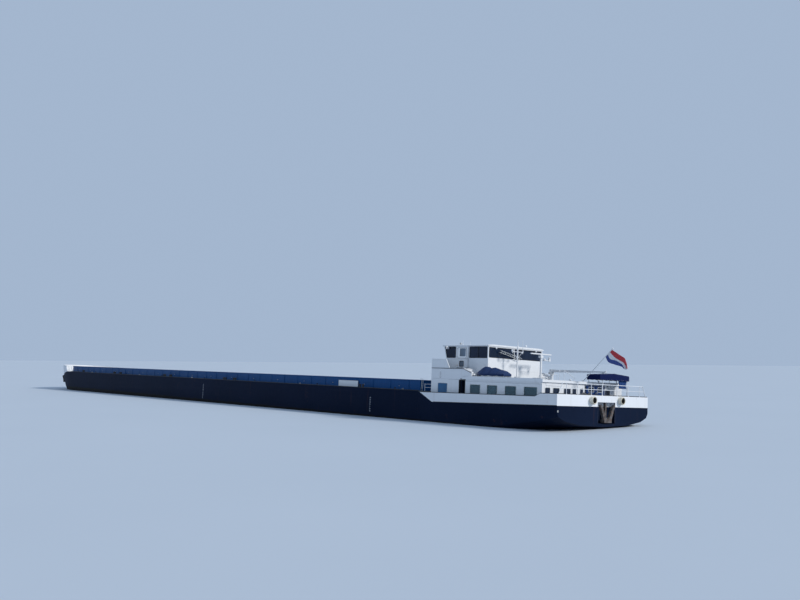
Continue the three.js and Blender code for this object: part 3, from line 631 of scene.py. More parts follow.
MATS = {
    "hull": hull_material(),
    "shell": white_hull_material(),
    # recess: the side doors' recess, which gets painted shade
    "house": house_material("house_white", [(201, 1388, 497, 345.4, 471.9), (1027, 1387, 497, 472.5, 556)],
                                recess=(980, 1066, 501.6, 345, 471.9)),
    "cab": house_material("cab_white", [(904, 1384, 338, 564, 745)]),
    "cardeck": house_material("car_deck_white", [], roof=0.4895),
    "block": house_material("block_white", [(1027, 1387, 497, 472.5, 556)], roof=0.5595),
    "white": paint("white_paint", (0.74, 0.765, 0.80), 0.36, 0.45, streak=0.15, rust=0.10, spread=0.05,
                   grime=(0.4, 0.34, 0.26)),
    "coaming": coaming_material(),
    "dark": paint("dark_paint", (0.018, 0.021, 0.027), 0.5, 0.3, streak=0.3, rust=0.28, spread=0.25,
                  grime=(0.08, 0.07, 0.06)),
    "navy": paint("navy_paint", (0.012, 0.02, 0.05), 0.4, 0.35, streak=0.25, rust=0.12, spread=0.25,
                  grime=(0.05, 0.05, 0.055)),
    "green": paint("green_paint", (0.05, 0.10, 0.07), 0.45, 0.35, streak=0.35, rust=0.35, spread=0.2),
    "door": paint("door_blue", (0.005, 0.033, 0.14), 0.34, 0.3, streak=0.15, rust=0.06, spread=0.15,
                  grime=(0.05, 0.07, 0.12)),
    "anchor": rusty("anchor_rust", (0.050, 0.042, 0.040), (0.125, 0.118, 0.120)),
    "hold": rusty("hold_steel", (0.12, 0.085, 0.065), (0.24, 0.205, 0.18), 0.66),
    "steel": metal("worn_steel", (0.42, 0.43, 0.44)),
    "bright": metal("bright_steel", (0.62, 0.63, 0.64), 0.28, (0.35, 0.31, 0.27)),
    "drum": metal("grooved_steel", (0.30, 0.29, 0.28), 0.4, (0.16, 0.10, 0.06), grooves=68),
    "bronze": metal("bronze", (0.50, 0.33, 0.13), 0.34, (0.10, 0.16, 0.12)),
    "rubber": paint("rubber", (0.012, 0.012, 0.013), 0.7, 0.25, streak=0.2, spread=0.3),
    "glass_dark": glass("wheelhouse_glass", (0.004, 0.012, 0.034), 0.10, 0.28),
    "glass_green": glass("cabin_glass", (0.068, 0.135, 0.168), 0.30),
    "glass_blue": glass("blue_glass", (0.018, 0.125, 0.29), 0.25),
    "glass_pale": glass("door_glass", (0.115, 0.155, 0.205), 0.12),
    "polished": metal("polished_alloy", (0.93, 0.94, 0.95), 0.16, (0.62, 0.63, 0.64)),
    "blind": paint("blind", (0.30, 0.38, 0.30), 0.6, 0.3, streak=0.1, spread=0.25),
    "blue_blind": paint("blue_blind", (0.12, 0.30, 0.50), 0.6, 0.3, streak=0.1, spread=0.25),
    "frame": metal("window_frame", (0.66, 0.68, 0.68), 0.42, (0.45, 0.43, 0.40)),
    "edge": paint("dark_edge", (0.10, 0.11, 0.13), 0.5, 0.3, streak=0.2, spread=0.2),
    "cream": paint("cream_lip", (0.66, 0.62, 0.50), 0.45, 0.4, streak=0.4, rust=0.35, spread=0.1,
                   grime=(0.25, 0.17, 0.10)),
    "lead": fairlead_material(),
    # pale cloth for the painted highlight on the tarp's aft end
    "tarp_highlight": cloth("tarp_highlight_cloth", (0.32, 0.42, 0.56), (0.44, 0.54, 0.68), 700, 0.5, 0.1),
    "tarp": cloth("tarpaulin", (0.007, 0.024, 0.085), (0.013, 0.042, 0.14), 700, 0.6, 0.03, dust=0.12,
                  gloss=0.25),
    "awning": cloth("awning_cloth", (0.0015, 0.006, 0.040), (0.003, 0.011, 0.075), 800, 0.85, 0.02,
                    dust=0.04, gloss=0.12),
    "curtain": cloth("curtain_cloth", (0.016, 0.06, 0.20), (0.035, 0.12, 0.36), 800),
    "flag": flag_material(),
    "seat": cloth("seat_cover", (0.02, 0.02, 0.022), (0.05, 0.05, 0.055), 900, 0.7),
    "console": paint("console", (0.06, 0.05, 0.042), 0.42, 0.4, streak=0.05, spread=0.2),
    "wood": paint("wood", (0.20, 0.10, 0.045), 0.5, 0.35, streak=0.1, spread=0.3),
    "red": paint("red_lens", (0.16, 0.008, 0.008), 0.25, 0.6, streak=0.05),
    "lens_green": paint("green_lens", (0.005, 0.10, 0.03), 0.25, 0.6, streak=0.05),
}


def node_names(words):
    """Node names in a text; one that ends in * stands for the port and the starboard one."""
    return [w.replace("*", name) for w in words.split() for name, _ in (SIDES if "*" in w else SIDES[:1])]


NODE_LOOKS = {
    "hull": "hull hull_stern",
    "shell": "aft_body transom aft_bulwark_* bow_bulwark",
    "coaming": "hatch_coaming",
    "hold": "hold_floor",
    "dark": "gunwale_* stern_winch_frame foremast_foot forepeak_lid fore_bollards_* aft_bollards_*",
    "house": "deckhouse",
    "cardeck": "car_deck",
    "block": "bridge_block",
    "white": "bridge_wing_* wheelhouse_roof wheelhouse_door_* radar_post radar_scanner antenna_mast "
             "crane_post crane_head crane_boom stern_rail flagstaff awning_frame foremast",
    "cab": "wheelhouse",
    "console": "helm_console",
    "seat": "helm_seat",
    "navy": "side_door_* rudder_*",
    "door": "aft_door_*",
    "anchor": "stern_anchor bow_anchor_*",
    "lead": "fairlead_*",
    "flag": "flag",
    "awning": "awning",
    "drum": "stern_winch_drum windlass_drum_*",
    "green": "windlass_frame",
    "bright": "dinghy",
    "tarp": "dinghy_cover",
    "bronze": "propeller_*",
}
ROUND = node_names("aft_bollards_* antenna_mast awning_frame bow_bulwark crane_head crane_post fairlead_* "
                   "flagstaff fore_bollards_* foremast hull hull_stern propeller_* radar_post radar_scanner "
                   "rudder_* stern_rail stern_winch_drum windlass_drum_*")


def dress_nodes():
    for name, look in [(n, look) for look, words in NODE_LOOKS.items() for n in node_names(words)]:
        o = nodes[name]
        o.data.materials.clear()
        o.data.materials.append(MATS[look])
        if "custom_normal" in o.data.attributes:
            o.data.attributes.remove(o.data.attributes["custom_normal"])
        if name in ROUND:
            o.data.shade_smooth()
            weld = o.modifiers.new("weld", "WELD")
            weld.merge_threshold = 0.00002
            split = o.modifiers.new("edges", "EDGE_SPLIT")
            split.split_angle = radians(32)
        else:
            o.data.shade_flat()


# windows and doors

HOUSE_PANES = [(241, 369, 360, 433), (445, 559, 360, 433), (639, 748, 360, 433), (820, 934, 360, 433)]
AFT_PANES = [(409, 466), (300, 374), (165, 245), (-340, -270)]
# s of the wheelhouse's front at z 654, and how much further forward it is at z 750
CAB_FORE, CAB_LEAN = 1388, 31
# y of the house's and the wheelhouse's side walls and of its doors, and s of the house's aft wall
HOUSE_Y, CAB_Y, CAB_DOOR_Y, AFT_WALL = 502, 342, 354, 197


def cab_front(z):
    return CAB_FORE + CAB_LEAN * (z - 654) / 96


@job
def house_windows():
    rims, glass, aft_glass, blinds, blue_glass, blue_blinds = (Shape() for _ in range(6))
    for side in (1, -1):
        for i, (s0, s1, z0, z1) in enumerate(HOUSE_PANES):
            pane = upright(s0, s1, HOUSE_Y * side, z0, z1, side)
            pane.rim(rims)
            pane.glass(glass)
            pane.blind(blinds, (0.96, 0.7, 0.5, 0.96)[i])
        pane = upright(1195, 1309, HOUSE_Y * side, 354, 435, side)
        pane.rim(rims)
        pane.glass(blue_glass)
        pane.blind(blue_blinds, 0.96)
    for y0, y1 in AFT_PANES:
        pane = facing_aft(AFT_WALL, y0, y1, 385, 433)
        pane.rim(rims)
        pane.glass(aft_glass)
        pane.blind(blinds, 0.4)
    for y0, y1 in ((96, 140), (10, 48)):
        pane = facing_aft(AFT_WALL, y0, y1, 388, 438)
        pane.rim(rims, leg=0.2)
        aft_glass.loops([pane.loop(-1.2, 0.1), pane.loop(-1.2, 0.9)])
    pane = Pane([(1392, y, z) for y, z in ((-300, 490), (300, 490), (300, 530), (-300, 530))], (1, 0, 0), 3)
    pane.rim(rims)
    pane.glass(aft_glass)
    pane.bars(rims, [0.25, 0.5, 0.75])
    rims.make("house_window_rims", MATS["frame"], "barge")
    glass.make("house_glass", MATS["glass_green"], "barge")
    aft_glass.make("house_aft_glass", MATS["glass_dark"], "barge")
    blinds.make("house_blinds", MATS["blind"], "barge")
    blue_glass.make("galley_glass", MATS["glass_blue"], "barge")
    blue_blinds.make("galley_blinds", MATS["blue_blind"], "barge")


@job
def cab_windows():
    seals, glass = Shape(), Shape()
    panes = []
    for side in (1, -1):
        panes.append(upright(1273, 1379, CAB_Y * side, 654, 745, side, 24))
        panes.append(upright(908, 1108, CAB_Y * side, 654, 745, side))
    for y0, y1 in ((27, 328), (-328, 19)):
        panes.append(facing_aft(900, y0, y1, 660, 741))
    lean = Vector((96, 0, -CAB_LEAN)).normalized()
    for y0, y1 in ((118, 328), (-110, 110), (-328, -118)):
        a, b = cab_front(658), cab_front(743)
        panes.append(Pane([(a, y0, 658), (a, y1, 658), (b, y1, 743), (b, y0, 743)], lean))
    for pane in panes:
        pane.rim(seals, 2.2, 1.2, 4.5, -1.4)
        pane.glass(glass)
    panes[1].bars(seals, [0.5], -0.6, 1.2)
    panes[3].bars(seals, [0.5], -0.6, 1.2)
    seals.make("cab_window_seals", MATS["rubber"], "wheelhouse")
    glass.make("cab_glass", MATS["glass_dark"], "wheelhouse")

    def wipers(shape):
        for y in (-223, 0, 223):
            pivot = (cab_front(750) + 4, y - 40, 747)
            tip = (cab_front(684) + 5, y + 6, 684)
            shape.path([pivot, tip], [1.6, 1.0], 6)
            shape.path([(tip[0] - 8, y + 6, 662), (tip[0] + 7, y + 6, 706)], 1.1, 6)
            shape.lathe([(0.5, -6), (3, -6), (3.4, 0), (2.2, 2), (0.4, 2.4)], pivot, 10, (1, 0, 0.1))
    build("wipers", "dark", "wheelhouse", wipers)

    def frames(shape):
        for side in (1, -1):
            pane = upright(1122, 1245, CAB_Y * side, 574, 742, side)
            pane.rim(shape, 10, 4.6, 1.5, 0.2)
        for y in (-114, 114):
            shape.path([(cab_front(656) + 1.5, y, 656), (cab_front(745) + 1.5, y, 745)], 3.2)
    build("cab_frames", "white", "wheelhouse", frames, bevel=0.5)


@job
def doors():
    for name, side in SIDES:
        body = "wheelhouse_door_" + name
        panes = [upright(1135, 1232, CAB_DOOR_Y * side, 652, 736, side),
                 upright(1164, 1211, CAB_DOOR_Y * side, 580, 624, side)]
        seals, glass = Shape(), Shape()
        for pane in panes:
            pane.rim(seals, 2.6, 1.2, 5.0, -1.4)
            pane.glass(glass)
        seals.make("cab_door_seals_" + name, MATS["rubber"], body)
        glass.make("cab_door_glass_" + name, MATS["glass_pale"], body)

        def surround(shape):
            outer = upright(1135, 1232, CAB_DOOR_Y * side, 652, 736, side)
            inner = upright(1142, 1210, CAB_DOOR_Y * side, 664, 731, side)
            shape.loops([outer.loop(0.5, -2.4), outer.loop(0.5, 1.5), inner.loop(0, 1.5),
                         inner.loop(0, -2.4)], closed=True)
        build("cab_door_surround_" + name, "polished", body, surround)

        def fittings(shape):
            y = CAB_DOOR_Y * side
            shape.lathe([(0.5, 0), (4, 0), (4, 1.6), (2, 2.4), (0.5, 2.6)], (1124, y + 4 * side, 643), 12,
                        (0, side, 0))
            shape.path([(1124, y + 7 * side, 643), (1127, y + 9.5 * side, 643),
                        (1141, y + 9.5 * side, 642)], 1.5)
            for z in (590, 660, 728):
                shape.box(1226, 1248, y, y + 1.6 * side, z - 4, z + 4)
        build("cab_door_fittings_" + name, "bright", body, fittings, bevel=0.4)

        body = "side_door_" + name

        def panel(shape):
            for z0, z1 in ((362, 404), (414, 456)):
                y0, y1 = sorted((422 * side, 470 * side))
                pane = Pane([(1051, y0, z0), (1051, y1, z0), (1051, y1, z1), (1051, y0, z1)], (-1, 0, 0), 5)
                pane.rim(shape, 1.5, 1.2, 0.2, -2)
        build("side_door_panels_" + name, "navy", body, panel)

        body = "aft_door_" + name
        y0, y1 = (-130, -18) if side > 0 else (-248, -136)
        edge = y0 if side > 0 else y1
        hinge = y1 if side > 0 else y0

        def leaf(shape):
            pane = facing_aft(183, y0 + 14, y1 - 14, 362, 402)
            pane.rim(shape, 1.5, 1.6, 0.3, -2.5)
            for z in (372, 448):
                shape.path([(182.6, hinge, z), (182.2, hinge + (30 if edge > hinge else -30), z)], 2.2, 6)
        build("aft_door_panels_" + name, "door", body, leaf)

        def light(shape):
            facing_aft(183, y0 + 22, y1 - 22, 416, 452).rim(shape, 3, 1.8, 0.4, -1.5)
        build("aft_door_window_rim_" + name, "frame", body, light)

        def lit(shape):
            pane = facing_aft(183, y0 + 22, y1 - 22, 416, 452)
            shape.loops([pane.loop(-1.2, 0.1), pane.loop(-1.2, 0.9)])
        build("aft_door_glass_" + name, "glass_dark", body, lit)

        def grip(shape):
            inner = edge + (6 if edge < hinge else -6)
            shape.path([(176, inner, 416), (171, inner, 416), (171, inner, 400), (176, inner, 400)], 1.6)
            shape.lathe([(0.4, 0), (4, 0), (4, 2), (0.4, 2.4)], (175.4, inner, 408), 12, (-1, 0, 0))
        build("aft_door_grip_" + name, "bright", body, grip)


# hull and house trim

BOW_STEPS = 9
BOW_LEVELS = ((250, 9930, 10912.116, 2.4), (500, 10000, 11012.116, 2.45))


def bow_at(j, z):
    """Point s, y of the bow's outline at height z; j is 0 at full breadth and BOW_STEPS at the stem."""
    ends = []
    for _, start, reach, full in BOW_LEVELS:
        pair = []
        for k in (int(j), min(int(j) + 1, BOW_STEPS)):
            a = pi / 2 * k / BOW_STEPS
            pair.append(Vector((start + (reach - start) * sin(a) ** (2 / full),
                                572.5 * max(cos(a), 0) ** (2 / full) if k < BOW_STEPS else 0)))
        ends.append(pair[0].lerp(pair[1], j - int(j)))
    return ends[0].lerp(ends[1], (z - BOW_LEVELS[0][0]) / 250)


def bow_rail_top(s):
    return 448 + (s - 10250) * 22.579 / 780


def bow_edge(j, z, inset):
    """Point s, y inside the bow's plating, and the direction out of it."""
    p = bow_at(j, z)
    t = bow_at(min(j + 0.12, BOW_STEPS), z) - bow_at(max(j - 0.12, 0), z)
    n = Vector((-t.y, t.x)).normalized()
    return p - n * inset, n


@piece("dark")
def bulwark_caps(shape):
    for side in (1, -1):
        y = 566.4 * side
        shape.path([(1452, y, 352.5), (202, y, 368.4), (156, y, 391.6), (6, y, 394)], 3.3, 6)
    shape.path([(6.5, -566, 394), (6.5, 566, 394)], 3.3, 6)


@piece("white")
def bow_cap_rail(shape):
    half = [(10182, 566.4, 374), (10216, 566, 411)]
    for i in range(49):
        j = 1.13 + (BOW_STEPS - 1.13) * i / 48
        p, _ = bow_edge(j, bow_rail_top(bow_at(j, 460).x), 5.5)
        half.append((p.x, max(p.y, 0) if i < 48 else 0, bow_rail_top(p.x) + 1.5))
    shape.path(half + [(s, -y, z) for s, y, z in half[-2::-1]], 4.6)


@piece("white")
def bulwark_stays(shape):
    for j in (2, 2.5, 3, 3.5, 4, 4.6, 5.2, 5.9, 6.7):
        top = bow_rail_top(bow_at(j, 460).x) - 5
        head, n = bow_edge(j, top, 12)
        heel, toe = bow_edge(j, 346, 12)[0], bow_edge(j, 346, 50)[0]
        across = Vector((-n.y, n.x)) * 1.8
        for side in (1, -1):
            shape.faces([P(q.x + d * across.x, side * (q.y + d * across.y), z) for d in (-1, 1)
                         for q, z in ((head, top), (heel, 346), (toe, 346))], WEDGE)


@piece("white", both=True)
def stern_stays(shape, side):
    for s in (40, 100, 150):
        shape.slab(s - 1.6, s + 1.6, ((560, 388), (560, 346), (536, 346)), side)


@piece("coaming", both=True)
def coaming_ribs(shape, side):
    for i in range(34):
        s = 1690 + i * 250
        shape.slab(s - 1.5, s + 1.5, ((487, 360.8), (491, 360.8), (489.5, 442), (487, 445)), side)
    shape.box(1552, 10133, side * 487, side * 489, 408, 411)


@piece("steel", both=True)
def coaming_eyes(shape, side):
    for i in range(17):
        eye = ((-5, 489, 398), (-4, 494, 392), (4, 494, 392), (5, 489, 398))
        shape.path([(1815 + i * 500 + d, side * y, z) for d, y, z in eye], 1.3, 6)


@piece("white", bevel=1.0)
def blank_board(shape):
    shape.box(2406, 2711, 494.4, 497, 363, 421)


@piece("frame")
def blank_board_rim(shape):
    Pane([(2406, 497, 363), (2711, 497, 363), (2711, 497, 421), (2406, 497, 421)], (0, 1, 0),
         1.0).rim(shape, 0.4, 1.0, 0.1, -2.4)
    for s in (2440, 2558, 2677):
        shape.box(s - 6, s + 6, 487, 495, 398, 404)


@piece("frame", both=True)
def hold_ladders(shape, side):
    y0, y1 = 462 * side, 478 * side
    for y in (y0, y1):
        shape.path([(1543, y, 352), (1536, y, 452), (1541, y, 462), (1556, y, 462)], 1.8)
    for z in range(362, 452, 15):
        s = 1543 - 7 * (z - 352) / 100
        shape.path([(s, y0, z), (s, y1, z)], 1.3, 6)


@piece("white", both=True)
def fore_guards(shape, side):
    y = 492 * side
    for z in (392, 420):
        shape.path([(1394, y, z), (1480, y, z - 2)], 1.6)
    shape.path([(1480, y, 361), (1480, y, 424)], 2.0)
    shape.path([(1394, y, 388), (1394, y, 424)], 1.6)


@piece("hold")
def hold_frames(shape):
    for side in (1, -1):
        for i in range(34):
            s = 1627.5 + i * 250
            shape.box(s - 3, s + 3, side * 470.5, side * 475.2, 66, 444)
    for y in range(-400, 401, 100):
        shape.box(1560.2, 1563.5, y - 3, y + 3, 66, 444)
        shape.box(10121.5, 10124.8, y - 3, y + 3, 66, 444)


@piece("steel")
def hold_rungs(shape):
    for s, t in ((1560, 1), (10125, -1)):
        for y in (-440, 440):
            for z in range(90, 440, 15):
                shape.path([(s, y - 8, z), (s + 4 * t, y - 8, z), (s + 4 * t, y + 8, z), (s, y + 8, z)],
                           1.1, 5)


def bolts(shape, s, y, z, r, profile):
    """Ring of six small bolts of one profile, at the distance r."""
    for k in range(6):
        a = pi / 3 * k
        shape.lathe(profile, (s + r * cos(a), y + r * sin(a), z), 6)


BOLLARD_S = (2300, 4660, 4890, 6330, 6515, 7997, 8223, 9500)


def bollard(shape, s, y, base, half, gap, r, top, crown):
    """Pair of posts with rounded heads and a cross bar on a plate."""
    shape.box(s - half, s + half, y - 18, y + 18, base, base + 3.5)
    for d in (-gap, gap):
        shape.lathe([(0.5, 0), (r * 1.25, 0), (r, 3.5), (r * 0.96, top - 9), (crown, top - 6.5),
                     (crown, top - 2), (crown - 2.2, top), (0.5, top + 0.6)], (s + d, y, base + 3))
        bar = base + top * 0.66
        shape.path([(s + d, y - r - 5, bar), (s + d, y + r + 5, bar)], 2.2)


@piece("dark", both=True, bevel=0.6)
def side_bollards(shape, side):
    for s in BOLLARD_S:
        bollard(shape, s, 537 * side, 360.3, 40, 22, 9, 29, 11)


@piece("steel", both=True)
def side_fairleads(shape, side):
    y = 549 * side
    roller = [(0.4, 0), (4.6, 0), (3.2, 2.5), (3.2, 10), (4.6, 12.5), (0.4, 13)]
    for s in (1700, 3300, 5700, 7300, 9100, 9960):
        shape.box(s - 15, s + 15, y - 8, y + 8, 360.3, 363.5)
        for d in (-8, 8):
            shape.lathe(roller, (s + d, y, 363), 12)


@piece("dark", both=True)
def tank_vents(shape, side):
    for s in (1850, 3050, 4250, 5450, 6650, 7850, 9050, 9800):
        shape.lathe([(3.4, 0), (3.4, 11), (6.8, 12), (7.4, 15), (5.5, 18.5), (0.4, 20)],
                    (s, 512 * side, SIDE_DECK), 14)


@piece("dark", both=True)
def tank_lids(shape, side):
    for s in (2000, 3600, 5200, 6800, 8400):
        shape.lathe([(13, 0), (13, 2.4), (11.5, 3.4), (0.4, 3.6)], (s, 524 * side, SIDE_DECK), 20)
        bolts(shape, s, 524 * side, 363.2, 10.4, [(1.5, 0), (1.5, 2), (0.3, 2.3)])


@piece("edge", both=True)
def block_edge(shape, side):
    y = 503.2 * side
    shape.path([(1390, y, 558), (1012, y, 557), (922, y, 525)], 2.6, 6)


@piece("white", both=True)
def house_rails(shape, side):
    shape.path([(1391, 502.4 * side, 472.1), (1024, 502.4 * side, 472.1)], 1.7, 6)
    y = 498 * side
    shape.path([(1180, y, 562), (1223, y, 631.6), (1387, y, 634.4)], 4.0, 10)
    shape.path([(1388, y, 634.4), (1388, 352 * side, 634.4)], 4.0, 10)
    y = 499 * side
    shape.path([(1024, y, 560), (1012, y, 566), (924, y, 534), (918, y, 527)], 2.2)
    for s, z in ((1000, 561), (960, 547)):
        shape.path([(s, y, z - 17), (s, y, z)], 1.6, 6)


@piece("polished", both=True)
def block_pipes(shape, side):
    y = 505.5 * side
    shape.path([(1281, HOUSE_Y * side, 478), (1281, y, 480), (1281, y, 524), (1281, HOUSE_Y * side, 526)],
               3.4, 10)
    for z in (488, 516):
        shape.box(1276, 1286, HOUSE_Y * side, 508.2 * side, z - 1.2, z + 1.2)
    shape.box(1060, 1180, HOUSE_Y * side, 506 * side, 466.5, 468)


@piece("dark", both=True, bevel=0.6)
def door_hoods(shape, side):
    shape.slab(978, 1038, ((502, 478), (511.4, 475), (511.4, 467.5), (502, 467.5)), side)
    for s in (989.5, 1058.5):
        shape.box(s - 2.5, s + 2.5, HOUSE_Y * side, 503.6 * side, 349, 467)
    shape.box(986, 1062, HOUSE_Y * side, 512 * side, 345.4, 349)


@piece("dark", both=True)
def step_nosings(shape, side):
    for s, z in ((1002, 552), (981, 537), (960, 522), (940, 507)):
        shape.box(s - 1.4, s + 4, 422 * side, 494 * side, z - 0.2, z + 1.2)


@piece("white", bevel=0.8)
def aft_board(shape):
    shape.box(194.4, 196.9, 269, 458, 447.5, 471)


@piece("white")
def deck_edges(shape):
    for side in (1, -1):
        shape.path([(186.5, 510 * side, 496.6), (980, 510 * side, 496.6)], 1.8, 6)
        for i in range(7):
            s = 250 + i * 118
            shape.lathe([(0.4, 0), (3.2, 0), (3.2, 1.4), (0.4, 1.6)], (s, 511.9 * side, 481), 12,
                        (0, side, 0))
    shape.path([(186.2, -509, 491), (186.2, 509, 491)], 1.8, 6)
    for side in (1, -1):
        cove = [[P(s, side * y, z) for y, z in ((502.1, 454), (502.1, 473), (512.1, 474), (512.1, 472.6))]
                for s in (197, 976)]
        shape.loops(cove)


@piece("steel")
def lashing_pots(shape):
    for s in range(280, 880, 120):
        for y in (-250, -120, 0, 120, 250):
            shape.lathe([(7, 0), (7, 1.0), (5.2, 1.6), (4.6, 0.5), (0.4, 0.4)], (s, y, CAR_DECK), 12)


@piece("white")
def roof_vents(shape):
    for s, y in ((300, -330), (300, 330), (560, -300), (690, 300)):
        shape.lathe([(5, 0), (5, 13), (10.5, 14), (11.5, 18), (8, 22.5), (0.4, 24)], (s, y, CAR_DECK), 18)
        shape.lathe([(8, 0), (8, 1.6), (0.4, 1.8)], (s, y, CAR_DECK), 18)


@piece("white", bevel=1.2)
def skylight(shape):
    shape.box(420, 500, 170, 250, 490.3, 502)
    shape.box(416, 504, 166, 254, 502, 505)


@piece("glass_dark", bevel=0.3)
def skylight_glass(shape):
    shape.box(424, 457, 174, 246, 505, 506)
    shape.box(463, 496, 174, 246, 505, 506)


@piece("white")
def aft_guards(shape):
    s = 196
    rail = ((249, 491), (249, 561), (244, 567), (125, 517), (121, 511), (124, 505), (125, 491))
    shape.path([(s, y, z) for y, z in rail], 1.9)
    shape.path([(s, 303, 491), (s, 303, 563)], [2.2, 1.5])
    shape.lathe([(0.4, -5), (3.6, -3.6), (5, 0), (3.6, 3.6), (0.4, 5)], (s, 303, 565), 12)
    low = ((470, 491), (470, 528), (462, 534), (338, 534), (330, 528), (330, 491))
    for side in (1, -1):
        shape.path([(s, y * side, z) for y, z in low], 1.7)


@piece("white", "wheelhouse")
def roof_gutter(shape):
    shape.path([(894, 348, 755), (1426, 348, 755), (1426, -348, 755), (894, -348, 755)], 3.2, closed=True)
    for y in (-200, 0, 200):
        shape.box(900, 1420, y - 1.2, y + 1.2, 765.4, 767.4)


@piece("white", "wheelhouse")
def roof_domes(shape):
    for s, y in ((1000, -240), (1120, -270), (1330, -230)):
        shape.lathe([(3, 0), (3, 12), (8, 13), (10, 18), (9, 24), (5, 28), (0.4, 29.5)], (s, y, 765.5), 18)


@piece("white", "wheelhouse")
def roof_whips(shape):
    for s, y in ((1300, 230), (1380, 60), (960, -100)):
        shape.path([(s, y, 765.8), (s, y, 778)], 3.0)
        shape.path([(s, y, 777), (s, y, 813)], [1.3, 0.7], 6)


@piece("bright", "wheelhouse")
def roof_lamps(shape):
    for y in (-150, 150):
        shape.path([(1408, y, 766), (1408, y, 776)], 2.5)
        shape.lathe([(0.4, -11), (7, -10), (9.5, -3), (10, 6), (9, 7), (8.4, 3), (0.4, 2.6)],
                    (1408, y, 786), 18, (1, 0, -0.1))
    shape.path([(1350, -20, 767), (1350, -20, 774), (1362, -20, 776)], 1.6)
    shape.lathe([(1.5, -6), (2, 6), (3, 12), (6, 18), (6.6, 18), (5, 12), (0.4, 8)], (1362, -20, 776), 14,
                (1, 0, 0))


@piece("white", "wheelhouse", both=True, bevel=0.5)
def lamp_boards(shape, side):
    shape.box(1360, 1390, 343 * side, 356 * side, 749, 751)
    shape.box(1356, 1392, 342.5 * side, 345 * side, 726, 751)
    shape.box(1358.5, 1361, 343 * side, 371 * side, 725, 752)


@job
def side_lights():
    for name, side in SIDES:
        foot = (1374, 351 * side, 731)

        def lens(shape):
            shape.lathe([(0.4, 0), (6.4, 0), (6.8, 2), (6.8, 14), (6.2, 16), (0.4, 16.5)], foot, 18)
            shape.lathe([(3, 16), (3.6, 17), (2, 19), (0.4, 19.4)], foot, 12)
        build("side_light_" + name, "red" if side > 0 else "lens_green", "wheelhouse", lens)


@piece("frame", "wheelhouse")
def stowed_ladder(shape):
    a, b = (878, 214, 721.5), (878, -50, 669)
    c, d = (878, 226, 706), (878, -38, 653)
    shape.path([a, b], 2.2)
    shape.path([c, d], 2.2)
    for i in range(1, 12):
        t = i / 12
        shape.path([tuple(p + (q - p) * t for p, q in zip(a, b)),
                    tuple(p + (q - p) * t for p, q in zip(c, d))], 1.5, 6)
    for t in (0.14, 0.84):
        y, z = (p + (q - p) * t for p, q in zip(c[1:], d[1:]))
        shape.path([(900, y, z - 4), (876, y, z - 4), (874, y, z + 3)], 1.8, 6)


@piece("white", "wheelhouse", bevel=0.6)
def cab_corner_trim(shape):
    shape.box(896, 899.9, -340, 340, 744, 749.5)
    for y in (-338, 338):
        shape.box(897.4, 899.9, y - 3.5, y + 3.5, 562, 748)
    shape.box(897.4, 899.9, 20, 26, 658, 744)


@piece("white", "wheelhouse")
def deck_lamps(shape):
    for s, y, z, t in ((893, 250, 738, (-1, 0, -0.4)), (893, -250, 738, (-1, 0, -0.4)),
                       (189, -300, 462, (-1, 0, -0.3))):
        shape.lathe([(0.4, -4), (6, -3.5), (7.4, 1), (6.8, 3.5), (0.4, 4.5)], (s, y, z), 16, t)
        shape.path([(s, y, z), (s + 7.5, y, z + 3)], 1.8, 6)


# s and y of the mast, the radar and the crane
MAST = 790, 105
RADAR_S, RADAR_Y = 735, -127
CRANE_S, CRANE_Y = 860, -430


@piece("white", "antenna_mast")
def mast_details(shape):
    s, y = MAST
    shape.path([(s, y, 655), (s, y, 752)], 6.3, 12)
    shape.path([(s, y - 70, 716), (s, y - 70, 740)], 1.5, 6)
    for d in (-62, 62):
        shape.lathe([(0.4, 0), (4, 0), (4, 8), (2.5, 10), (0.4, 10.4)], (s, y + d, 703), 12)
    for d in (-1, 1):
        shape.path([(s, y + 5 * d, 664), (s, y + 56 * d, 714)], 1.3, 6)


@piece("steel")
def mast_pin(shape):
    s, y = MAST
    shape.lathe([(0.4, -19), (4, -19), (4, -17), (2.4, -16.8), (2.4, 16.8), (4, 17), (4, 19), (0.4, 19)],
                (s, y, 500), 12, (0, 1, 0))


@piece("white", "radar_scanner", bevel=2.2)
def radar_cover(shape):
    shape.box(728.4, 741.6, -254, 0, 707, 715)
    shape.lathe([(6, -2), (9, -1.6), (9, 1.6), (6, 2)], (RADAR_S, RADAR_Y, 700))


@piece("white")
def radar_post_details(shape):
    for a in range(4):
        u = (cos(pi / 2 * a + pi / 4), sin(pi / 2 * a + pi / 4))
        shape.path([(RADAR_S + 7 * u[0], RADAR_Y + 7 * u[1], 535),
                    (RADAR_S + 22 * u[0], RADAR_Y + 22 * u[1], 495)], 1.8, 6)
        shape.lathe([(0.3, 0), (2.6, 0), (2.6, 2), (1.4, 3.2), (0.3, 3.4)],
                    (RADAR_S + 24 * u[0], RADAR_Y + 24 * u[1], 495.2), 6)
    shape.lathe([(5, -6), (8, -5), (8.6, 3), (7.4, 8), (0.4, 9.5)], (RADAR_S, -237, 682))
    shape.lathe([(0.4, -9), (6.4, -8), (9.4, -1), (9.8, 5), (0.4, 5.4)], (722, -160, 668), 16,
                (-1, 0, -0.2))
    shape.path([(722, -160, 668), (RADAR_S, -160, 660)], 1.6, 6)


@piece("white")
def crane_rings(shape):
    for z in (497, 548):
        shape.lathe([(15.2, 0), (18, 0), (18, 3.4), (15.2, 3.4)], (CRANE_S, CRANE_Y, z), 20, closed=True)
    bolts(shape, CRANE_S, CRANE_Y, 496.1, 24, [(0.3, 0), (2.6, 0), (2.6, 2.2), (1.4, 3.4), (0.3, 3.6)])


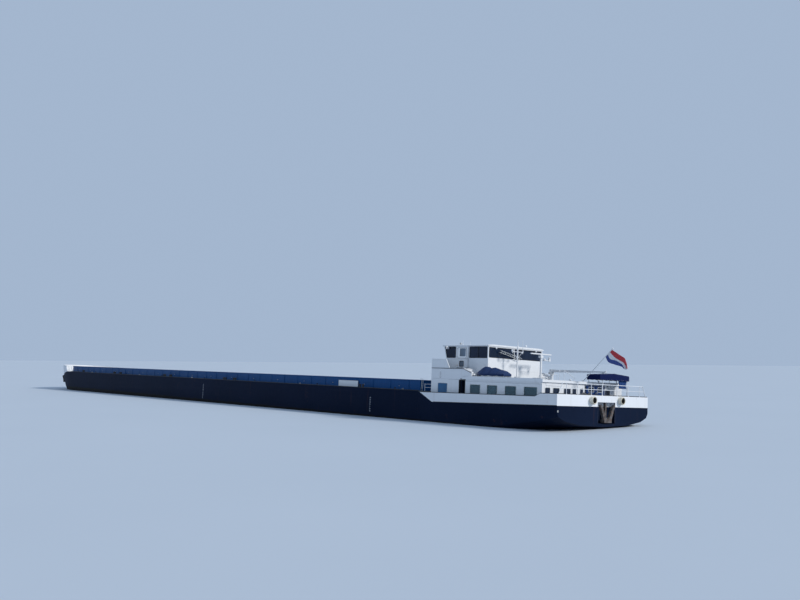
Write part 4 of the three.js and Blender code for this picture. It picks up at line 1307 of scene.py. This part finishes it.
@piece("dark", "crane_head")
def crane_winch(shape):
    shape.lathe([(0.4, -13), (8.4, -13), (8.4, -10), (5, -9.6), (5, 9.6), (8.4, 10), (8.4, 13), (0.4, 13)],
                (878, CRANE_Y, 560), 16, (0, 1, 0))
    shape.box(868, 884, -443.5, -440.5, 552, 570)
    shape.box(868, 884, -419.5, -416.5, 552, 570)


@piece("white", "crane_boom", bevel=0.5)
def boom_details(shape):
    for d in (-1, 1):
        shape.box(310, 850, CRANE_Y + d * 9 - 1, CRANE_Y + d * 9 + 1, 576, 578)
    for s in (330, 480, 640, 800):
        shape.box(s - 3, s + 3, -439.6, -420.4, 573, 591 - (800 - s) * 0.011)
    shape.lathe([(0.4, -5), (7.4, -5), (5.2, -3), (5.2, 3), (7.4, 5), (0.4, 5)], (304, CRANE_Y, 586), 16,
                (0, 1, 0))


@piece("rubber", "wheelhouse", bevel=1.2)
def helm_screens(shape):
    for y in (-170, -85, 0, 85):
        shape.faces([P(s, q, z) for q in (y - 34, y + 34)
                     for s, z in ((1322, 650), (1334, 649), (1344, 688), (1336, 690))], PRISM)
    shape.box(1283, 1303, -60, -30, 638, 645)
    shape.box(1283, 1303, 30, 60, 638, 645)


@piece("glass_blue", "wheelhouse")
def helm_glass(shape):
    for y in (-170, -85, 0, 85):
        pts = [P(s, q, z) for q in (y - 30, y + 30) for s, z in ((1323.4, 654), (1334.2, 686))]
        shape.faces(pts, [(0, 1, 3, 2)])


@piece("bright", "wheelhouse")
def helm_levers(shape):
    for y in (-50, -38, 38, 50):
        shape.path([(1292, y, 644), (1288, y, 660)], 1.4, 6)
        shape.lathe([(0.4, -3), (3, -2), (3.4, 1), (0.4, 3)], (1288, y, 662), 12)
    for k in range(8):
        shape.lathe([(0.4, 0), (2.4, 0), (2, 2), (0.4, 2.2)], (1301, -140 + 12 * k, 645), 10, (-0.3, 0, 1))


@piece("wood", "wheelhouse", bevel=1.6)
def cab_lockers(shape):
    shape.path([(1270, -229, 629), (1270, 229, 629)], 3.0)
    shape.box(905, 960, -330, -120, 569, 612)
    shape.box(905, 960, 120, 330, 569, 612)


@job
def helm_seat():
    def base(shape):
        shape.lathe([(0.4, 0), (22, 0), (23, 2.4), (20, 4.5), (8, 7), (6, 12), (6, 26), (10, 30),
                     (0.4, 31)], (1190, 0, 569.4), 24)
        shape.box(1166, 1214, -22, 22, 599.5, 603)
        for side in (1, -1):
            shape.path([(1176, 24 * side, 602), (1172, 29 * side, 606), (1170, 29 * side, 624)], 1.8)
    seat = build("seat_base", "steel", "wheelhouse", base, bevel=0.6)
    cushions = [pad("seat_cushion", (1190, 0, 608), (25, 25, 5.6), 0),
                pad("seat_back", (1164.5, 0, 640), (5.2, 23, 27), 2),
                pad("seat_arm_port", (1188, 29, 625), (17, 3.6, 3.2), 2),
                pad("seat_arm_starboard", (1188, -29, 625), (17, 3.6, 3.2), 2)]

    for o in [seat] + cushions:
        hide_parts("helm_seat")


def pad(name, centre, half, seed):
    """Stuffed pad: crowned faces, a sewn channel, and sides that draw in between the corners."""
    thin = min(range(3), key=lambda i: half[i])
    a, b = [i for i in range(3) if i != thin]
    n = 14
    bm = bmesh.new()
    grid = {}
    for face in (1, -1):
        for i in range(n + 1):
            for j in range(n + 1):
                u, v = 2 * i / n - 1, 2 * j / n - 1
                edge = max(abs(u), abs(v))
                key = (0 if edge > 0.999 else face, i, j)
                if key in grid:
                    continue
                draw_in = 1 - 0.055 * (1 - (u if abs(v) > abs(u) else v) ** 2) * edge ** 6
                crown = (1 - edge ** 4) ** 0.5 * (0.82 + 0.18 * cos(u * 1.2) * cos(v * 1.2))
                seam = 0.07 * exp(-((abs(u) - 0.36) / 0.05) ** 2) * (1 - edge ** 4)
                wrinkle = 0.05 * noise.noise(Vector((u * 2.1, v * 2.1, seed + face)))
                p = [0.0, 0.0, 0.0]
                p[a], p[b] = u * half[a] * draw_in, v * half[b] * draw_in
                puff = max(crown - seam + wrinkle * (1 - edge ** 2), 0)
                p[thin] = face * half[thin] * puff if key[0] else 0.0
                grid[key] = bm.verts.new(P(*(c + d for c, d in zip(centre, p))))
    for face in (1, -1):
        for i in range(n):
            for j in range(n):
                f = []
                for x, y in ((i, j), (i + 1, j), (i + 1, j + 1), (i, j + 1)):
                    rim = x in (0, n) or y in (0, n)
                    f.append(grid[(0 if rim else face, x, y)])
                bm.faces.new(f)
    shape = Shape()
    shape.bm.free()
    shape.bm = bm
    o = shape.make(name, MATS["seat"], "wheelhouse", angle=80)
    sub = o.modifiers.new("soft", "SUBSURF")
    sub.levels = sub.render_levels = 1
    return o


# stern and bow gear

@piece("dark", bevel=0.8)
def stern_winch_gear(shape):
    for y in (172, 54):
        shape.lathe([(0.4, 0), (13, 0), (15, 2), (15, 5), (12, 7), (0.4, 8)], (84, y - 0.5, 384), 20,
                    (0, 1, 0))
    shape.box(96, 118, 64, 96, 351, 372)
    shape.lathe([(0.4, 0), (9, 0), (9, 28), (7, 31), (0.4, 31)], (107, 80, 372), 18)


@piece("cream")
def fairlead_lips(shape):
    for y, z in ((169, 355), (-192, 357)):
        shape.path(hoop(-30, y, z, 26, 32), 2.4, closed=True)


@piece("white")
def rail_feet(shape):
    posts = (-460, -309, -160, 31, 165, 330, 460)
    for y in posts:
        shape.lathe([(2.4, 0), (7, 0), (7, 1.6), (3.2, 4)], (6, y, 392.2), 12)
    for y in posts:
        shape.lathe([(0.4, -3.2), (2.6, -2.4), (3.4, 0), (2.6, 2.4), (0.4, 3.2)], (6, y, 474), 10)


@piece("navy", bevel=0.5)
def anchor_recess_rim(shape):
    for y in (-126, 86):
        shape.box(-1.6, 3, y, y + (4 if y > 0 else -4), 186, 340)
    shape.box(-1.6, 3, -128, 88, 338.5, 342)
    shape.path([(10, -20, 338), (22, -20, 344), (34, -20, 345)], 4.6, 10)


@piece("anchor")
def anchor_ribs(shape):
    for side in (1, -1):
        shape.path([(3, -20 + 34 * side, 214), (0.5, -20 + 86 * side, 316)], [3.4, 1.6])
    shape.lathe([(0.4, -5), (7.5, -5), (8.5, 0), (7.5, 5), (0.4, 5)], (2, -20, 204), 14, (1, 0, 0))
    shape.path(hoop(15, -20, 334, 8, 20), 2.4, closed=True)


@piece("white")
def flagstaff_fittings(shape):
    shape.lathe([(0.4, 0), (9, 0), (9, 2.4), (5, 5), (5, 13), (0.4, 14)], (212, 0, CAR_DECK))
    shape.lathe([(0.3, -6.5), (4.5, -5), (6, 0), (4.5, 5), (0.3, 6.5)], (-58.5, 0, 747), 14,
                (-0.72, 0, 0.69))


@piece("white")
def awning_bar(shape):
    shape.path([(104, -86, 522), (104, -290, 527)], 2.2)
    for y in (-110, -200, -280):
        shape.path([(104, y, 522.5 + (-86 - y) * 0.024), (105, y, 543)], 1.1, 6)


@piece("frame")
def outlets(shape):
    shape.lathe([(4, 0), (7.5, 0), (7.5, 1.6), (6, 2.4), (4, 2.4)], (-0.1, 560, 268), 16, (-1, 0, 0),
                closed=True)


@piece("green", both=True, bevel=0.8)
def windlass_motors(shape, side):
    shape.box(10632, 10664, 100 * side - 18, 100 * side + 18, 352, 380)
    shape.lathe([(0.4, 0), (12, 0), (12, 30), (10, 34), (0.4, 34)], (10648, 118 * side, 384), 18,
                (0, side, 0))
    shape.lathe([(0.4, 0), (19, 0), (21, 2), (21, 7), (17, 9), (0.4, 9)], (10680, 142 * side, 385), 24,
                (0, side, 0))
    s, y, z, r = 10712, 60 * side, 396, 13
    shape.path(hoop(s, y, z, r, 20), 1.4, 6, closed=True)
    shape.path([(s - 8, y, 360), (s, y, z)], 1.6, 6)
    for t in (0, 1.05, 2.09):
        shape.path([(s, y + d * cos(t), z + d * sin(t)) for d in (r, -r)], 1.0, 5)


@piece("cream", both=True)
def bow_hole_rims(shape, side):
    y = bow_at(2.774, 392).y
    shape.lathe([(12.5, -14), (16.5, -14), (18.6, -10), (16.5, -8.4), (12.5, -8.4)],
                (10500, (y - 1) * side, 392), 24, (0, side, 0), closed=True)


@piece("steel", "forepeak_lid", bevel=0.4)
def lid_fittings(shape):
    for y in (-228, -172):
        shape.box(10392, 10420, y - 3, y + 3, 357, 358.6)
    for s, y in ((10470, -240), (10470, -160), (10430, -158), (10430, -242)):
        shape.lathe([(0.3, 0), (3, 0), (3, 3), (1.4, 5), (0.3, 5.4)], (s, y, 357), 8)
    shape.path([(10452, -212, 358), (10452, -210, 364), (10452, -190, 364), (10452, -188, 358)], 1.5)


@piece("white")
def fore_vents(shape):
    for y in (-120, 120):
        shape.lathe([(6, 0), (6, 16), (13, 17), (14.5, 22), (10, 28), (0.4, 30)], (10300, y, DECK), 20)
    for y in (-430, 430):
        shape.lathe([(4, 0), (4, 12), (8, 13), (8.6, 17), (5, 21), (0.4, 22)], (10260, y, DECK))


@piece("bright", "foremast")
def foremast_lamps(shape):
    for y in (-34, 34):
        shape.lathe([(0.4, -5), (4, -4), (4.4, 4), (2, 6), (0.4, 6.4)], (10570, y, 369), 12)
    shape.lathe([(0.4, 0), (6, 0), (6.4, 2), (6.4, 10), (4, 12), (0.4, 12.4)], (10639, 0, 369), 14)
    shape.path([(10350, 5, 363), (10350, 5, 368), (10620, 5, 368)], 0.9, 5)


@piece("dark", both=True, bevel=0.4)
def cleats(shape, side):
    for s, y in ((10230, 380), (10700, 250), (60, 512), (130, 512)):
        y *= side
        shape.box(s - 8, s + 8, y - 4, y + 4, DECK, 352)
        horn = [(s - 18, y, 356), (s - 9, y, 354), (s + 9, y, 354), (s + 18, y, 356)]
        shape.path(horn, [1.6, 3.2, 3.2, 1.6])


@piece("white", both=True)
def fore_rails(shape, side):
    s, y0, y1 = 10165, 466 * side, 380 * side
    shape.path([(s, y0, 346), (s, y0, 430), (s, y1, 430), (s, y1, 346)], 1.9)
    shape.path([(s, y0, 390), (s, y1, 390)], 1.5, 6)


# cloth

def grid(rows, cols):
    """Faces of rows by cols cells, between points that run along the columns first."""
    w = cols + 1
    return [(i * w + j, (i + 1) * w + j, (i + 1) * w + j + 1, i * w + j + 1) for i in range(rows)
            for j in range(cols)]


def border(rows, cols):
    """Row and column of each point round a grid, in turn."""
    rim = [(0, j) for j in range(cols + 1)] + [(i, cols) for i in range(1, rows + 1)]
    return rim + [(rows, j) for j in range(cols - 1, -1, -1)] + [(i, 0) for i in range(rows - 1, 0, -1)]


def skirt(verts, faces, rim, drops, under):
    """Adds rows of points below those of rim; under(n, t) is the place below the nth, t from 0 to 1."""
    last, count = rim, len(rim)
    for k in range(1, drops + 1):
        now = list(range(len(verts), len(verts) + count))
        verts += [under(n, k / drops) for n in range(count)]
        faces += [(last[n], last[(n + 1) % count], now[(n + 1) % count], now[n]) for n in range(count)]
        last = now


def sheet_object(name, verts, faces, mat, thick=0.5, levels=1, body="barge"):
    mesh = bpy.data.meshes.new(name)
    mesh.from_pydata(verts, [], faces)
    mesh.materials.append(MATS[mat])
    mesh.shade_smooth()
    o = bpy.data.objects.new(name, mesh)
    scene.collection.objects.link(o)
    solid = o.modifiers.new("thick", "SOLIDIFY")
    solid.thickness, solid.offset = thick / 1000, -1
    if levels:
        sub = o.modifiers.new("soft", "SUBSURF")
        sub.levels = sub.render_levels = levels
    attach(o, body)
    return o


# (s, z) along the flag's top edge, the two lines between its stripes and its lower edge, from hoist to fly
FLAG = (((-55, 738.7), (-92, 716), (-125, 694), (-158, 667), (-178, 601)),
        ((-35, 721.5), (-64, 690), (-95, 666), (-141, 641), (-166, 595)),
        ((-15, 704.3), (-35, 670), (-81, 658), (-132, 632), (-158, 593)),
        ((5, 687.2), (-19, 645), (-72, 628), (-124, 614), (-150, 593)))


def along(points, u):
    """Point of a smooth curve through evenly spaced points."""
    pts = [Vector(p) for p in points]
    pts = [2 * pts[0] - pts[1]] + pts + [2 * pts[-1] - pts[-2]]
    n = min(int(u * (len(points) - 1)), len(points) - 2)
    t = u * (len(points) - 1) - n
    a, b, c, d = pts[n:n + 4]
    return 0.5 * (2 * b + (c - a) * t + (2 * a - 5 * b + 4 * c - d) * t * t
                  + (3 * b - a - 3 * c + d) * t ** 3)


@job
def flag_cloth():
    """The flag blows off its sloping staff and droops at the fly, in folds."""
    rows, cols = 30, 60
    verts, uvs = [], []
    for i in range(rows + 1):
        v = i / rows
        k = min(int(v * 3), 2)
        for j in range(cols + 1):
            u = j / cols
            at = along(FLAG[k], u).lerp(along(FLAG[k + 1], u), v * 3 - k)
            grow = u ** 0.8
            y = grow * (7.0 * sin(2.1 * pi * u + 2.6 * v + 0.4)
                        + 4.0 * sin(5.3 * pi * (u + 0.22 * v) + 1.1) + 1.6 * sin(11 * pi * u - 3.5 * v))
            y += 9.0 * max(0, (u - 0.45) / 0.55) ** 1.5 * sin(2 * pi * 1.8 * v + 0.8)
            y += 1.4 * noise.noise(Vector((u * 5, v * 4, 2.3))) * grow
            verts.append(P(at.x, y - 30 * u, at.y))
            uvs.append((u, v))
    flag = sheet_object("flag_cloth", verts, grid(rows, cols), "flag", 0.35, 0)
    layer = flag.data.uv_layers.new(name="cut")
    for loop in flag.data.loops:
        layer.data[loop.index].uv = uvs[loop.vertex_index]
    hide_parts("flag")


@job
def awning_cloth():
    """Cloth over the frame: pitched top with dips between the battens, and a hem all round."""
    s0, s1, y0, y1 = 92, 218, -452, -60
    ns, ny = 16, 44
    ridge, edge, hem = 566, 553, 512
    mid = (y0 + y1) / 2

    def top(a, b):
        s, y = s0 + (s1 - s0) * a, y0 + (y1 - y0) * b
        pitch = ridge - (ridge - edge) * abs(y - mid) / ((y1 - y0) / 2)
        dip = 3.0 * (sin(pi * a) ** 1.3) * (0.35 + 0.65 * sin(pi * b * 4) ** 2)
        wrinkle = 0.8 * noise.noise(Vector((a * 5, b * 12, 0.7)))
        return (s, y, pitch - dip + wrinkle * sin(pi * a) * sin(pi * b))
    verts = [P(*top(i / ns, j / ny)) for i in range(ns + 1) for j in range(ny + 1)]
    faces = grid(ns, ny)
    rim = border(ns, ny)

    def under(n, t):
        i, j = rim[n]
        s, y, z = top(i / ns, j / ny)
        out_s = (1 if i == ns else -1 if i == 0 else 0)
        out_y = (1 if j == ny else -1 if j == 0 else 0)
        ruffle = 1.5 * t * sin(n * 1.05) + 0.8 * t * sin(n * 0.37 + 1)
        low = hem + 1.6 * sin(n * 0.9)
        out = min(1.0 * sin(pi * t) - 0.6 + ruffle * 0.5, 1.4)
        return P(s + out_s * out, y + out_y * out, z + (low - z) * t)
    skirt(verts, faces, [i * (ny + 1) + j for i, j in rim], 6, under)
    cover = sheet_object("awning_cloth", verts, faces, "awning")
    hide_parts("awning")

    def seams(shape):
        for k in (0.25, 0.5, 0.75):
            shape.path([tuple(c + d for c, d in zip(top(a / 8, k), (0, 0, 0.5))) for a in range(9)], 0.8, 5)
        for n in range(0, ny + 1, 3):
            y = y0 + (y1 - y0) * n / ny
            shape.path([(s0 - 1.4, y, 514), (s0 + 12.5, y, 544)], 0.5, 5)
    build("awning_lacing", "white", "barge", seams)


@job
def curtain():
    """Sun curtain hung in folds from the awning's outer corner."""
    y0, y1, z0, z1 = -440, -332, 452, 543
    ny, nz = 112, 18
    verts = []
    for i in range(nz + 1):
        t = i / nz
        for j in range(ny + 1):
            u = j / ny
            pinch = 1 - 0.16 * exp(-((t - 0.7) / 0.22) ** 2)
            y = y0 + (y1 - y0) * (0.5 + (u - 0.5) * pinch)
            deep = 4.0 * (0.6 + 0.4 * t) * sin(u * pi * 24 + 0.8 * sin(t * 3)) + 0.9 * sin(u * 61 + t * 5)
            verts.append(P(111 + deep, y, z1 - (z1 - z0) * t + 0.8 * sin(u * 40) * t))
    o = sheet_object("awning_curtain", verts, grid(nz, ny), "curtain", 0.4, 0)


# y of the boat's middle line, z of its gunwale, and the least height of the cover over it
BOAT_Y, GUNWALE, TARP_LOW = 423, 524, 523


def tarp_ridge(s):
    """Height of the cover's ridge over the boat."""
    pts = [(606, 543), (622, 550), (668, 556), (706, 567), (738, 575), (776, 569), (806, 580), (846, 580),
           (872, 570), (904, 550), (926, 538), (938, 525)]
    for (a, p), (b, q) in zip(pts, pts[1:]):
        if s <= b:
            t = (s - a) / (b - a)
            return p + (q - p) * t * t * (3 - 2 * t) if q != p else p
    return pts[-1][1]


@job
def dinghy_tarp():
    """Cover over the boat on a ridge pole, drawn tight to the gunwale, with a skirt held by a line."""
    ns, nw = 46, 26
    verts = []

    def half(s):
        u = min(max((s - 612) / 324, 0), 1)
        if u < 0.55:
            return 47 + 8 * sin(pi * min(u / 1.1, 0.5))
        return 55 * max(1 - ((u - 0.55) / 0.45) ** 2.3, 0.02)

    for i in range(ns + 1):
        t = i / ns
        s = 607 + 330 * t
        ridge, w = tarp_ridge(s), half(s)
        for j in range(nw + 1):
            u = 2 * j / nw - 1
            fall = (ridge - GUNWALE) * (abs(u) ** 1.35)
            batten = 2.6 * (0.5 - 0.5 * cos(2 * pi * t * 6)) * sin(pi * min(abs(u), 1)) ** 1.1
            wrinkle = 1.2 * noise.noise(Vector((t * 9, u * 2.5, 4.1))) * (1 - abs(u) ** 3)
            z = ridge - fall - batten + wrinkle
            verts.append(P(s, BOAT_Y + w * u, max(z, TARP_LOW)))
    faces = grid(ns, nw)
    rim = [i * (nw + 1) + j for i, j in border(ns, nw)]
    edge = [verts[n].copy() for n in rim]
    centre = P(760, BOAT_Y, 520)

    def away(p):
        return Vector((p.x - centre.x, p.y - centre.y, 0)).normalized()

    def under(n, t):
        low = (507 + 2.2 * sin(n * 0.55)) / 1000
        q = edge[n] + away(edge[n]) * ((1.2 * sin(n * 0.83) * t - 0.8 * t) / 1000)
        q.z = edge[n].z + (low - edge[n].z) * t
        return q
    skirt(verts, faces, rim, 5, under)
    o = sheet_object("dinghy_tarp", verts, faces, "tarp")
    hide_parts("dinghy_cover")

    def line(shape):
        pts = []
        for n in range(0, len(edge), 2):
            p, out = edge[n], away(edge[n]) * 0.8
            pts.append((p.x * 1000 + MID + out.x, p.y * 1000 + out.y, 515 - 3.4 * (n // 2 % 2)))
        shape.path(pts, 0.6, 5, closed=True)
        for s in (680, 760, 840):
            w, ridge = half(s), tarp_ridge(s)
            over = []
            for k in range(17):
                u = 2 * k / 16 - 1
                z = max(ridge - (ridge - GUNWALE) * abs(u) ** 1.35, TARP_LOW)
                over.append((s, BOAT_Y + (w + 0.6) * u, z + 0.9))
            shape.path(over, 0.7, 5)
    build("tarp_straps", "awning", "barge", line)

    # painted highlight: a pale sheet on the aft end of the cover, lighter than the cover as if lit
    def tarp_highlight(shape):
        pts = [P(611.5, y, z) for y, z in ((388, 511), (430, 511), (430, 526), (388, 526))]
        pts += [p + Vector((-0.0012, 0, 0)) for p in pts]
        shape.faces(pts, PRISM)
    build("tarp_highlight_sheet", "tarp_highlight", "barge", tarp_highlight)


make_camera()
make_light()
make_floor()
dress_nodes()
for work in JOBS:
    work()
